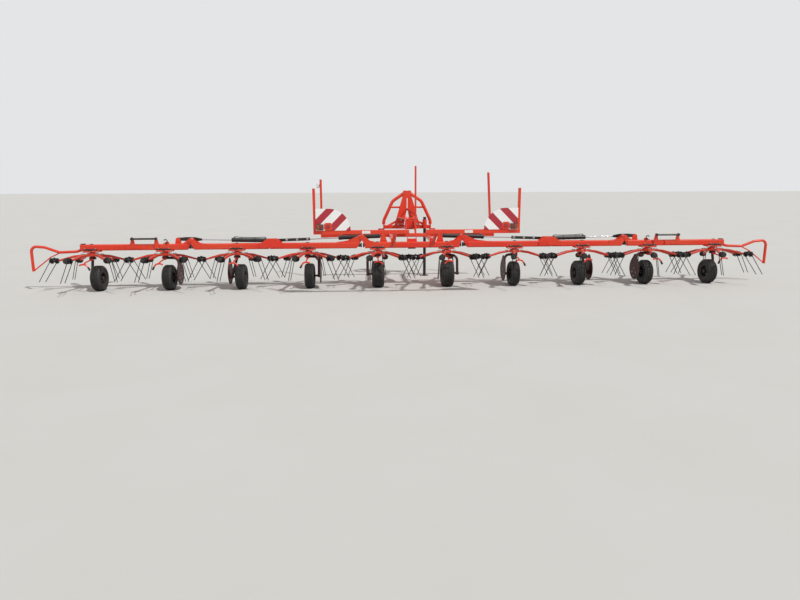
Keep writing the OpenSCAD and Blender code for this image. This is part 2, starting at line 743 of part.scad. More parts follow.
module swivel_fork() {
    for (z = [fork_z0 - fork_t, fork_z1]) translate([0, 0, z]) linear_extrude(height = fork_t) polygon([
        [-62, swivel_y - 50], [62, swivel_y - 50], [tower_foot - 60, arch_y - 34], [tower_foot - 60, arch_y],
        [-tower_foot + 60, arch_y], [-tower_foot + 60, arch_y - 34],
    ]);
    translate([0, swivel_y, fork_z0 - fork_t]) cylinder(h = fork_z1 - fork_z0 + 2 * fork_t, r = swivel_r);
}

module tower() {
    y0 = arch_y - 40;
    y1 = arch_y + 30;
    for (s = [-1, 1]) scale_x(s) {
        translate([0, y1, 0]) rotate([90, 0, 0]) linear_extrude(height = y1 - y0) polygon([
            [tower_foot, tower_z], [tower_head, top_z - 20], [tower_head, top_z + 55],
            [tower_head - plate_t, top_z + 55], [tower_head - plate_t, top_z - 20],
            [tower_foot - plate_t, tower_z],
        ]);
        translate([yoke_gap / 2, arch_y - 40, top_z - 60]) cube([plate_t + 4, 140, 120]);
        translate([yoke_gap / 2, arch_y - 40, top_z + 30]) cube([tower_head - yoke_gap / 2, 70, 20]);
        translate([yoke_gap / 2, arch_y - 40, top_z - 60]) cube([tower_head - yoke_gap / 2, 70, 20]);
    }
    translate([0, y0 + 8, 0]) rotate([90, 0, 0]) linear_extrude(height = 8) difference() {
        polygon([
            [-tower_foot, tower_z], [tower_foot, tower_z], [tower_head, top_z - 20],
            [tower_head, top_z + 55], [-tower_head, top_z + 55], [-tower_head, top_z - 20],
        ]);
        polygon([[-62, tower_z + 50], [62, tower_z + 50], [8, top_z - 280], [-8, top_z - 280]]);
        polygon([[-8, top_z - 240], [8, top_z - 240], [8, top_z - 70], [-8, top_z - 70]]);
    }
}

module arch() {
    x = hitch_half - 30;
    tube_path([[tower_head - 10, arch_y, top_z + 5], [x - 135, arch_y, top_z - 120],
        [x + 17, arch_y, top_z - 445], [x + 22, arch_y, hitch_z + 90]], arch_r, 140);
    rod([118, arch_y, top_z - 225], [x - 85, arch_y, top_z - 225], 16);
    rod([140, arch_y, top_z - 440], [x - 40, arch_y, hitch_z + 55], 18);
}

module lower_bracket() {
    x = hitch_half;
    placed([x - 20, 0, 0], [0, 1, 0], [1, 0, 0]) linear_extrude(height = 20) polygon([
        [arch_y - 40, hitch_z + 130], [arch_y - 40, hitch_z + 20], [arch_y + 30, hitch_z - 35],
        [arch_y + 85, hitch_z - 35], [arch_y + 95, hitch_z + 20], [arch_y + 40, hitch_z + 130],
    ]);
    rod_x([x + 43, arch_y + 60, hitch_z], hitch_pin_r, 90);
}

// Parking stand: a tube that slides in the headstock's sleeve
module parking_stand() color("dimgray") side(1) {
    translate([stand_x, arch_y - stand_back, 0]) cylinder(h = 10, r = 70);
    translate([stand_x, arch_y - stand_back, 5]) cylinder(h = hitch_z + 210, r = stand_r);
}

// Fold cylinders. Each lies between its base pin and its rod's eye.

function inner_base() = [cyl_base_x, cyl_y, cyl_base_z];
function inner_eye() = [eye_in_x, cyl_y, cyl_pin_z];
function outer_base() = [eye_out_x, cyl_y, cyl_pin_z];
function outer_eye() = [rod_eye_x, cyl_y, rod_eye_z];

// Lays its children, drawn along +X from the base pin, on the line from a to b
module along(a, b) {
    d = unit(b - a);
    placed(a, d, cross(d, [0, 1, 0])) children();
}

eye_r = cyl_pin_r + 14;
barrel_start = 46;
rod_room = 0.5;

module barrel(len) {
    difference() {
        union() {
            rod_y([0, 0, 0], eye_r, eye_t);
            translate([0, -eye_t / 2, -16]) cube([barrel_start + 4, eye_t, 32]);
            rod([barrel_start, 0, 0], [len, 0, 0], barrel_r);
        }
        rod_y([0, 0, 0], cyl_pin_r + run_clear, 2 * eye_t);
        rod([barrel_start + 20, 0, 0], [len + 10, 0, 0], piston_r + rod_room);
    }
}

module inner_barrel(s) color("dimgray") side(s) along(inner_base(), inner_eye()) barrel(inner_barrel_len);
module outer_barrel(s) color("dimgray") side(s) along(outer_base(), outer_eye()) barrel(outer_barrel_len);

link_len = 520;
wedge_len = 360;

// Piston rod of the inner cylinder with its slotted link bar
module inner_rod(s) color("silver") side(s) along(inner_base(), inner_eye()) {
    reach = norm(inner_eye() - inner_base());
    rod([inner_barrel_len - 120, 0, 0], [reach - link_len + 30, 0, 0], piston_r);
    rod_y([reach, 0, 0], eye_r, eye_t);
    translate([reach - link_len, -eye_t / 2, -22]) cube([link_len, eye_t, 44]);
}

// Piston rod of the outer cylinder with its wedge-shaped lever
module outer_rod(s) color("dimgray") side(s) along(outer_base(), outer_eye()) {
    reach = norm(outer_eye() - outer_base());
    rod([outer_barrel_len - 65, 0, 0], [reach - wedge_len + 20, 0, 0], piston_r);
    rod_y([reach, 0, 0], eye_r, eye_t);
    plate_xz([[reach - wedge_len, -14], [reach - 270, -30], [reach, -22], [reach, 22], [reach - 120, 34],
        [reach - 250, 34], [reach - wedge_len, 14]], -eye_t / 2, eye_t / 2);
}

centre_frame();
main_gearbox();
rear_rail();
front_rail();
warning_boards();
tail_lamps();
headstock();
parking_stand();
wing_1(-1);  // wing_1_l
wing_2(-1);  // wing_2_l
wing_3(-1);  // wing_3_l
wing_4(-1);  // wing_4_l
wing_1(1);  // wing_1_r
wing_2(1);  // wing_2_r
wing_3(1);  // wing_3_r
wing_4(1);  // wing_4_r
inner_barrel(-1);  // inner_barrel_l
inner_rod(-1);  // inner_rod_l
outer_barrel(-1);  // outer_barrel_l
outer_rod(-1);  // outer_rod_l
inner_barrel(1);  // inner_barrel_r
inner_rod(1);  // inner_rod_r
outer_barrel(1);  // outer_barrel_r
outer_rod(1);  // outer_rod_r
for (i = [1 : ROTOR_COUNT]) {
    rotor(i);
    tyre(i);
    rim(i);
}
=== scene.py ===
"""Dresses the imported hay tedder: paint, sprung tines, treaded tyres, lamps, boards, bolts and the studio.

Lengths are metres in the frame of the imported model: +X along the beam, +Y the way it travels, +Z up.
"""

from __future__ import annotations

import json
import logging
import math
from dataclasses import dataclass, field
from enum import Enum
from typing import Any, Callable, Sequence

import bmesh
import bpy
from mathutils import Matrix, Vector

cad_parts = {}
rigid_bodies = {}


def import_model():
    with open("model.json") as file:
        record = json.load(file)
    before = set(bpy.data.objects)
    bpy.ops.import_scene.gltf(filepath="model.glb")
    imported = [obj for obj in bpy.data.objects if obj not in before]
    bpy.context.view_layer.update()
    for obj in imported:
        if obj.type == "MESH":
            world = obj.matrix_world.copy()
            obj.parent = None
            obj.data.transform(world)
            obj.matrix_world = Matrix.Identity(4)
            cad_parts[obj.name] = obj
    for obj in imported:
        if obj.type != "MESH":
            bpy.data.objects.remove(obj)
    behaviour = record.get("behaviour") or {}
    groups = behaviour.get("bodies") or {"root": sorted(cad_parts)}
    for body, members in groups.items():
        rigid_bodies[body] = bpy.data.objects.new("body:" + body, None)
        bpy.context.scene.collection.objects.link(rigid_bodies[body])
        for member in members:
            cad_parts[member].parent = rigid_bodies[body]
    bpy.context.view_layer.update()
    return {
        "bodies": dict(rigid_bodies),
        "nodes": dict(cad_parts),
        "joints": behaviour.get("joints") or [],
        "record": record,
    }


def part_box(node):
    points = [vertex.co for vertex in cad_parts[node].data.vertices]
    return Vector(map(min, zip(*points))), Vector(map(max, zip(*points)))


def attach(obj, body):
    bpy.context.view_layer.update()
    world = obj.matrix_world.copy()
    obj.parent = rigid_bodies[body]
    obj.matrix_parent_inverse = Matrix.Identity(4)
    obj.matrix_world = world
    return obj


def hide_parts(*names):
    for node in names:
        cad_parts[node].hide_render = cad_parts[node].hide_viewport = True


LOG = logging.getLogger("tedder")
MM = 0.001
SIDES = {"l": -1, "r": 1}
ROTORS = range(1, 11)
OUTER_LEGS = (1, 3, 5, 6, 8, 10)  # wheels whose leg stands outboard of them
SHIELDED = (2, 3, 4, 7, 8, 9)  # wheels with a wrap shield
Point = Sequence[float]

# Sockets of a Mix node for colours, by place: their names belong to its sockets of other kinds too
MIX_SHARE, MIX_FROM, MIX_TO, MIXED = 0, 6, 7, 2


def linear(hex_code: str) -> tuple[float, float, float, float]:
    """Turns an sRGB hex value into a linear colour.

    Args:
        hex_code: the colour as #RRGGBB.

    Returns:
        Linear red, green, blue and alpha.
    """
    parts = [int(hex_code[i:i + 2], 16) / 255 for i in (1, 3, 5)]
    lit = [c / 12.92 if c <= 0.04045 else ((c + 0.055) / 1.055) ** 2.4 for c in parts]
    return (lit[0], lit[1], lit[2], 1.0)


def add(tree: bpy.types.NodeTree, kind: str, settings: dict[str, Any] | None = None,
        links: dict[str | int, Any] | None = None) -> bpy.types.Node:
    """Adds one node to a tree.

    Args:
        tree: the tree that gets the node.
        kind: the identifier of the node's type.
        settings: the node's own properties.
        links: what goes into each input, by its name or index: a socket to link, or a plain value.

    Returns:
        The new node.
    """
    made = tree.nodes.new(kind)
    for key, value in (settings or {}).items():
        setattr(made, key, value)
    for key, value in (links or {}).items():
        if isinstance(value, bpy.types.NodeSocket):
            tree.links.new(value, made.inputs[key])
        else:
            made.inputs[key].default_value = value
    return made


# Finishes


def patches(tree: bpy.types.NodeTree, size_mm: float, low: float, high: float, detail: float = 4.0) -> Any:
    """Makes a mask of irregular patches on the object's own coordinates.

    Args:
        tree: the material's tree.
        size_mm: typical width of a patch.
        low: noise level at which the mask starts, from 0 to 1.
        high: noise level at which the mask is full.
        detail: how ragged the edges are.

    Returns:
        The mask's socket, from 0 to 1.
    """
    place = add(tree, "ShaderNodeTexCoord").outputs["Object"]
    noise = add(tree, "ShaderNodeTexNoise", links={
        "Vector": place, "Scale": 0.5 / (size_mm * MM), "Detail": detail, "Roughness": 0.62})
    return add(tree, "ShaderNodeMapRange", links={
        "Value": noise.outputs[0], "From Min": low, "From Max": high}).outputs["Result"]


def facing_up(tree: bpy.types.NodeTree, mask: Any, low: float = -0.2) -> Any:
    """Keeps a mask on surfaces that look upwards, where dust settles.

    Args:
        tree: the material's tree.
        mask: the mask to keep there.
        low: the upward part of the normal at which the mask starts.

    Returns:
        The socket of the mask that is left.
    """
    normal = add(tree, "ShaderNodeNewGeometry").outputs["Normal"]
    up = add(tree, "ShaderNodeSeparateXYZ", links={0: normal}).outputs["Z"]
    share = add(tree, "ShaderNodeMapRange", links={"Value": up, "From Min": low, "From Max": 0.9})
    return add(tree, "ShaderNodeMath", {"operation": "MULTIPLY"}, {0: share.outputs[0], 1: mask}).outputs[0]


class Finish:
    """A surface finish that makes its own material."""

    name: str

    def material(self) -> bpy.types.Material:
        """Gives the finish's material, made at the first call.

        Returns:
            The material.
        """
        made = bpy.data.materials.get(self.name)
        if made is None:
            made = bpy.data.materials.new(self.name)
            made.use_nodes = True
            made.node_tree.nodes.clear()
            shader = add(made.node_tree, "ShaderNodeBsdfPrincipled")
            add(made.node_tree, "ShaderNodeOutputMaterial", links={"Surface": shader.outputs[0]})
            self.dress(made.node_tree, shader)
        return made

    def dress(self, tree: bpy.types.NodeTree, shader: bpy.types.Node) -> None:
        """Builds the nodes that feed the shader.

        Args:
            tree: the material's tree.
            shader: its surface shader.
        """
        raise NotImplementedError


@dataclass(frozen=True)
class Enamel(Finish):
    """Baked enamel sprayed on welded mild steel: glossy, with orange peel, dust and worn edges."""

    name: str
    colour: str
    faded: str
    primer: str = "#4B2A22"
    dust_colour: str = "#B49C84"
    dust: float = 0.22
    wear: float = 0.7
    roughness: float = 0.3
    dusty_roughness: float = 0.85
    edge_mm: float = 3.0
    chip_mm: float = 18.0
    dust_mm: float = 60.0
    fade_mm: float = 260.0
    peel_mm: float = 5.0  # real orange peel is about 1 mm across; drawn coarser so that it shows
    peel: float = 0.06
    coat: float = 0.15
    coat_roughness: float = 0.12

    def dress(self, tree: bpy.types.NodeTree, shader: bpy.types.Node) -> None:
        """Builds the nodes that feed the shader.

        Args:
            tree: the material's tree.
            shader: its surface shader.
        """
        fade = patches(tree, self.fade_mm, 0.35, 0.7, 2.0)
        colour = add(tree, "ShaderNodeMix", {"data_type": "RGBA"}, {
            MIX_SHARE: fade, MIX_FROM: linear(self.colour), MIX_TO: linear(self.faded)}).outputs[MIXED]
        # Where the rounded normal turns away from the flat one is an edge, whose paint is chipped
        rounded = add(tree, "ShaderNodeBevel", {"samples": 4}, {"Radius": self.edge_mm * MM}).outputs[0]
        flat = add(tree, "ShaderNodeNewGeometry").outputs["Normal"]
        turn = add(tree, "ShaderNodeVectorMath", {"operation": "DOT_PRODUCT"}, {0: rounded, 1: flat})
        edge = add(tree, "ShaderNodeMapRange", links={
            "Value": turn.outputs["Value"], "From Min": 0.99, "From Max": 0.86})
        chips = add(tree, "ShaderNodeMath", {"operation": "MULTIPLY"}, {
            0: edge.outputs[0], 1: patches(tree, self.chip_mm, 0.5, 0.62)})
        bare = add(tree, "ShaderNodeMath", {"operation": "MULTIPLY"}, {0: chips.outputs[0], 1: self.wear})
        colour = add(tree, "ShaderNodeMix", {"data_type": "RGBA"}, {
            MIX_SHARE: bare.outputs[0], MIX_FROM: colour, MIX_TO: linear(self.primer)}).outputs[MIXED]
        settled = facing_up(tree, patches(tree, self.dust_mm, 0.38, 0.75, 6.0))
        dusty = add(tree, "ShaderNodeMath", {"operation": "MULTIPLY"}, {0: settled, 1: self.dust})
        colour = add(tree, "ShaderNodeMix", {"data_type": "RGBA"}, {
            MIX_SHARE: dusty.outputs[0], MIX_FROM: colour, MIX_TO: linear(self.dust_colour)}).outputs[MIXED]
        rough = add(tree, "ShaderNodeMapRange", links={
            "Value": dusty.outputs[0], "To Min": self.roughness, "To Max": self.dusty_roughness})
        peel = add(tree, "ShaderNodeTexNoise", links={
            "Vector": add(tree, "ShaderNodeTexCoord").outputs["Object"], "Scale": 1 / (self.peel_mm * MM)})
        bump = add(tree, "ShaderNodeBump", links={
            "Strength": self.peel, "Distance": 0.5 * MM, "Height": peel.outputs[0], "Normal": rounded})
        tree.links.new(colour, shader.inputs["Base Color"])
        tree.links.new(rough.outputs[0], shader.inputs["Roughness"])
        tree.links.new(bump.outputs[0], shader.inputs["Normal"])
        shader.inputs["Coat Weight"].default_value = self.coat
        shader.inputs["Coat Roughness"].default_value = self.coat_roughness


@dataclass(frozen=True)
class Steel(Finish):
    """Bare, plated or oiled steel and zinc, drawn, ground or cast: a metal with stains."""

    name: str
    colour: str
    stain: str
    roughness: float
    metallic: float = 1.0
    stain_mm: float = 30.0
    stained: float = 0.5
    stain_roughness: float = 0.35
    stain_metallic: float = 0.4
    grain_mm: float = 4.0
    grain: float = 0.1

    def dress(self, tree: bpy.types.NodeTree, shader: bpy.types.Node) -> None:
        """Builds the nodes that feed the shader.

        Args:
            tree: the material's tree.
            shader: its surface shader.
        """
        spots = patches(tree, self.stain_mm, 0.45, 0.72, 5.0)
        mask = add(tree, "ShaderNodeMath", {"operation": "MULTIPLY"}, {0: spots, 1: self.stained}).outputs[0]
        colour = add(tree, "ShaderNodeMix", {"data_type": "RGBA"}, {
            MIX_SHARE: mask, MIX_FROM: linear(self.colour), MIX_TO: linear(self.stain)})
        stained_roughness = min(1.0, self.roughness + self.stain_roughness)
        rough = add(tree, "ShaderNodeMapRange", links={
            "Value": mask, "To Min": self.roughness, "To Max": stained_roughness})
        metal = add(tree, "ShaderNodeMapRange", links={
            "Value": mask, "To Min": self.metallic, "To Max": self.metallic * self.stain_metallic})
        grain = add(tree, "ShaderNodeTexNoise", links={
            "Vector": add(tree, "ShaderNodeTexCoord").outputs["Object"], "Scale": 1 / (self.grain_mm * MM)})
        bump = add(tree, "ShaderNodeBump", links={
            "Strength": self.grain, "Distance": 0.4 * MM, "Height": grain.outputs[0]})
        tree.links.new(colour.outputs[MIXED], shader.inputs["Base Color"])
        tree.links.new(rough.outputs[0], shader.inputs["Roughness"])
        tree.links.new(metal.outputs[0], shader.inputs["Metallic"])
        tree.links.new(bump.outputs[0], shader.inputs["Normal"])


@dataclass(frozen=True)
class Rubber(Finish):
    """Vulcanised rubber, moulded plastic or vinyl film: matt, greyed by dust in its hollows."""

    name: str
    colour: str = "#1A1B1D"
    dust_colour: str = "#6E665C"
    dust: float = 0.55
    roughness: float = 0.62
    dusty_roughness: float = 0.95
    cloud_mm: float = 45.0
    pebble_mm: float = 6.0
    pebble: float = 0.18

    def dress(self, tree: bpy.types.NodeTree, shader: bpy.types.Node) -> None:
        """Builds the nodes that feed the shader.

        Args:
            tree: the material's tree.
            shader: its surface shader.
        """
        # Dust lies in clouds and in the hollows that the mesh marks
        hollow = add(tree, "ShaderNodeAttribute", {"attribute_name": "hollow"}).outputs["Fac"]
        cloud = patches(tree, self.cloud_mm, 0.45, 0.8)
        spread = add(tree, "ShaderNodeMath", {"operation": "ADD"}, {0: hollow, 1: cloud})
        mask = add(tree, "ShaderNodeMath", {"operation": "MULTIPLY", "use_clamp": True}, {
            0: spread.outputs[0], 1: self.dust}).outputs[0]
        colour = add(tree, "ShaderNodeMix", {"data_type": "RGBA"}, {
            MIX_SHARE: mask, MIX_FROM: linear(self.colour), MIX_TO: linear(self.dust_colour)})
        rough = add(tree, "ShaderNodeMapRange", links={
            "Value": mask, "To Min": self.roughness, "To Max": self.dusty_roughness})
        pebble = add(tree, "ShaderNodeTexNoise", links={
            "Vector": add(tree, "ShaderNodeTexCoord").outputs["Object"], "Scale": 1 / (self.pebble_mm * MM),
            "Detail": 3.0})
        bump = add(tree, "ShaderNodeBump", links={
            "Strength": self.pebble, "Distance": 0.6 * MM, "Height": pebble.outputs[0]})
        tree.links.new(colour.outputs[MIXED], shader.inputs["Base Color"])
        tree.links.new(rough.outputs[0], shader.inputs["Roughness"])
        tree.links.new(bump.outputs[0], shader.inputs["Normal"])


@dataclass(frozen=True)
class Lens(Finish):
    """Injection-moulded acrylic lens over a reflector: clear gloss above small prisms."""

    name: str
    colour: str
    prism_mm: float = 7.0
    seam: float = 0.55
    relief: float = 0.35
    roughness: float = 0.12
    coat_roughness: float = 0.04

    def dress(self, tree: bpy.types.NodeTree, shader: bpy.types.Node) -> None:
        """Builds the nodes that feed the shader.

        Args:
            tree: the material's tree.
            shader: its surface shader.
        """
        cells = add(tree, "ShaderNodeTexVoronoi", {"distance": "CHEBYCHEV"}, {
            "Vector": add(tree, "ShaderNodeTexCoord").outputs["Object"], "Scale": 1 / (self.prism_mm * MM),
            "Randomness": 0.0})
        deep = add(tree, "ShaderNodeMapRange", links={
            "Value": cells.outputs["Distance"], "From Max": 0.5, "To Min": 1.0, "To Max": self.seam})
        tone = add(tree, "ShaderNodeVectorMath", {"operation": "SCALE"}, {
            0: linear(self.colour)[:3], "Scale": deep.outputs[0]})
        bump = add(tree, "ShaderNodeBump", links={
            "Strength": self.relief, "Distance": 1.0 * MM, "Height": cells.outputs["Distance"]})
        tree.links.new(tone.outputs[0], shader.inputs["Base Color"])
        tree.links.new(bump.outputs[0], shader.inputs["Normal"])
        shader.inputs["Roughness"].default_value = self.roughness
        shader.inputs["Coat Weight"].default_value = 1.0
        shader.inputs["Coat Roughness"].default_value = self.coat_roughness


@dataclass(frozen=True)
class StripedSheet(Finish):
    """Retroreflective sheeting on plate: red and white stripes at 45 degrees, under clear film."""

    name: str
    start: float  # level of the first stripe, continued down to the middle of the machine
    red: str = "#B40E2A"
    white: str = "#FCFBF8"
    grime_colour: str = "#8F8474"
    stripe_mm: float = 141.0  # measured upright, for stripes 100 mm wide
    red_share: float = 0.46
    prism_mm: float = 8.0  # real prisms are 3 mm; drawn coarser so that they show
    seam: float = 0.93
    grime: float = 0.15
    grime_mm: float = 90.0
    relief: float = 0.08
    roughness: float = 0.28
    coat: float = 0.6

    def dress(self, tree: bpy.types.NodeTree, shader: bpy.types.Node) -> None:
        """Builds the nodes that feed the shader.

        Args:
            tree: the material's tree.
            shader: its surface shader.
        """
        place = add(tree, "ShaderNodeTexCoord").outputs["Object"]
        split = add(tree, "ShaderNodeSeparateXYZ", links={0: place})
        # Stripes slope down and outwards, mirrored about the machine's middle
        out = add(tree, "ShaderNodeMath", {"operation": "ABSOLUTE"}, {0: split.outputs["X"]})
        slant = add(tree, "ShaderNodeMath", {"operation": "ADD"}, {0: out.outputs[0], 1: split.outputs["Z"]})
        moved = add(tree, "ShaderNodeMath", {"operation": "SUBTRACT"}, {0: self.start, 1: slant.outputs[0]})
        turns = add(tree, "ShaderNodeMath", {"operation": "DIVIDE"}, {
            0: moved.outputs[0], 1: 2 * self.stripe_mm * MM})
        phase = add(tree, "ShaderNodeMath", {"operation": "FRACT"}, {0: turns.outputs[0]})
        red = add(tree, "ShaderNodeMath", {"operation": "LESS_THAN"}, {
            0: phase.outputs[0], 1: self.red_share})
        cells = add(tree, "ShaderNodeTexVoronoi", {"distance": "MANHATTAN", "feature": "DISTANCE_TO_EDGE"}, {
            "Vector": place, "Scale": 1 / (self.prism_mm * MM), "Randomness": 0.0})
        seam = add(tree, "ShaderNodeMapRange", links={
            "Value": cells.outputs[0], "From Max": 0.12, "To Min": self.seam, "To Max": 1.0})
        base = add(tree, "ShaderNodeMix", {"data_type": "RGBA"}, {
            MIX_SHARE: red.outputs[0], MIX_FROM: linear(self.white), MIX_TO: linear(self.red)})
        tone = add(tree, "ShaderNodeVectorMath", {"operation": "SCALE"}, {
            0: base.outputs[MIXED], "Scale": seam.outputs[0]})
        grime = add(tree, "ShaderNodeMath", {"operation": "MULTIPLY"}, {
            0: patches(tree, self.grime_mm, 0.5, 0.8, 6.0), 1: self.grime})
        colour = add(tree, "ShaderNodeMix", {"data_type": "RGBA"}, {
            MIX_SHARE: grime.outputs[0], MIX_FROM: tone.outputs[0], MIX_TO: linear(self.grime_colour)})
        bump = add(tree, "ShaderNodeBump", links={
            "Strength": self.relief, "Distance": 0.5 * MM, "Height": cells.outputs[0]})
        tree.links.new(colour.outputs[MIXED], shader.inputs["Base Color"])
        tree.links.new(bump.outputs[0], shader.inputs["Normal"])
        shader.inputs["Roughness"].default_value = self.roughness
        shader.inputs["Coat Weight"].default_value = self.coat


@dataclass(frozen=True)
class Matt(Finish):
    """Plain painted floor: matt, even, a little speckled."""

    name: str
    colour: str
    speckle: str
    speckle_mm: float = 700.0
    roughness: float = 0.9

    def dress(self, tree: bpy.types.NodeTree, shader: bpy.types.Node) -> None:
        """Builds the nodes that feed the shader.

        Args:
            tree: the material's tree.
            shader: its surface shader.
        """
        specks = patches(tree, self.speckle_mm, 0.3, 0.8)
        colour = add(tree, "ShaderNodeMix", {"data_type": "RGBA"}, {
            MIX_SHARE: specks, MIX_FROM: linear(self.colour), MIX_TO: linear(self.speckle)})
        tree.links.new(colour.outputs[MIXED], shader.inputs["Base Color"])
        shader.inputs["Roughness"].default_value = self.roughness


class Look(Enum):
    """The finishes of the machine and the studio."""

    BEAM = Enamel("orange_enamel", "#E62E0E", "#E8441F", dust=0.12)
    ROTOR = Enamel("rotor_enamel", "#D62C10", "#BE3519", dust=0.22, wear=1.0, roughness=0.38)
    # Dark red that is partly the shields' own paint and partly painted shade: a darker copy of the red for
    # the shields and legs
    SHIELD = Enamel("dark_red_enamel_and_painted_shade", "#3C0D0A", "#340F0B", dust=0.03, wear=0.4, roughness=0.7)
    BLACK = Enamel("black_enamel", "#121315", "#1A1B1D", primer="#6B665F", dust=0.16, roughness=0.34)
    CASTING = Enamel("painted_casting", "#232427", "#2C2D30", primer="#5C5750", dust=0.3, roughness=0.5,
                     peel_mm=9.0)
    SPRING = Steel("oil_tempered_spring_steel", "#1C1A1A", "#3A281F", 0.5, metallic=0.6, stain_mm=40.0)
    ZINC = Steel("zinc_plated_steel", "#B9B8B2", "#8A8478", 0.34, stain_mm=8.0)
    CHROME = Steel("hard_chromed_rod", "#D6D8DA", "#A9A9A7", 0.1, stain_mm=60.0, stained=0.2, grain=0.02)
    # The rims are a near-black grey
    RIM = Steel("dark_grey_rim_steel", "#2E2D2D", "#3B342F", 0.55, metallic=0.25, stain_mm=25.0)
    TYRE = Rubber("tyre_rubber", "#101113", dust=0.18)
    PLASTIC = Rubber("moulded_black_plastic", "#1B1C1E", dust=0.25, roughness=0.4, pebble_mm=2.0)
    LABEL = Rubber("white_vinyl_film", "#F1F0EC", dust_colour="#B4AB9C", dust=0.35, roughness=0.3)
    RED_LENS = Lens("red_lens", "#8C0A0C")
    REFLECTOR = Lens("red_reflector", "#C00A24", prism_mm=5.0)
    AMBER_LENS = Lens("amber_lens", "#A4501A")
    BOARD = StripedSheet("striped_sheeting", start=2.514)
    FLOOR = Matt("studio_floor", "#D9D7D2", "#D4D2CC")

    @property
    def material(self) -> bpy.types.Material:
        """The finish's material."""
        return self.value.material()


# Shapes


def frame_at(origin: Point, along: Point, side: Point = (0, 0, 1)) -> Matrix:
    """Makes the matrix of a local frame.

    Args:
        origin: where the frame's origin lies.
        along: the direction of its Z axis.
        side: a direction near its X axis.

    Returns:
        The matrix from the local frame to the model's frame.
    """
    z = Vector(along).normalized()
    x = Vector(side) - z * Vector(side).dot(z)
    if x.length < 1e-6:
        x = z.orthogonal()
    x.normalize()
    y = z.cross(x)
    return Matrix.Translation(Vector(origin)) @ Matrix((x, y, z)).transposed().to_4x4()


def arc(radius: float, start: float, end: float, steps: int) -> list[tuple[float, float]]:
    """Gives points on a circle about the origin, from start to end in degrees."""
    turns = [math.radians(start + (end - start) * i / steps) for i in range(steps + 1)]
    return [(radius * math.cos(t), radius * math.sin(t)) for t in turns]


def circle(radius: float, sides: int) -> list[tuple[float, float]]:
    """Gives the points of a circle about the origin, or of a regular polygon."""
    return arc(radius, 0, 360, sides)[:-1]


def curved(points: Sequence[Point], steps: int = 5) -> list[Vector]:
    """Gives a smooth row of points through the ones that are given.

    Args:
        points: the points to pass through.
        steps: how many pieces each stretch between two of them gets.

    Returns:
        The points of the row, in order.
    """
    path = [Vector(p) for p in points]
    ends = [path[0] * 2 - path[1], *path, path[-1] * 2 - path[-2]]
    row = []
    for a, b, c, d in zip(ends, ends[1:], ends[2:], ends[3:]):
        for i in range(steps):
            u = i / steps
            bend = (2 * a - 5 * b + 4 * c - d) * u ** 2 + (3 * b - a - 3 * c + d) * u ** 3
            row.append(0.5 * (2 * b + (c - a) * u + bend))
    return row + [path[-1]]


def rounded_box(width: float, height: float, corner: float, steps: int = 2) -> list[tuple[float, float]]:
    """Gives the outline of a rectangle with round corners, counter-clockwise about its middle.

    Args:
        width: its size along X.
        height: its size along Y.
        corner: the corners' radius.
        steps: how many pieces each corner gets.

    Returns:
        The outline's points.
    """
    points = []
    for sx, sy, start in ((1, 1, 0), (-1, 1, 90), (-1, -1, 180), (1, -1, 270)):
        for px, py in arc(corner, start, start + 90, steps):
            points.append((sx * (width / 2 - corner) + px, sy * (height / 2 - corner) + py))
    return points


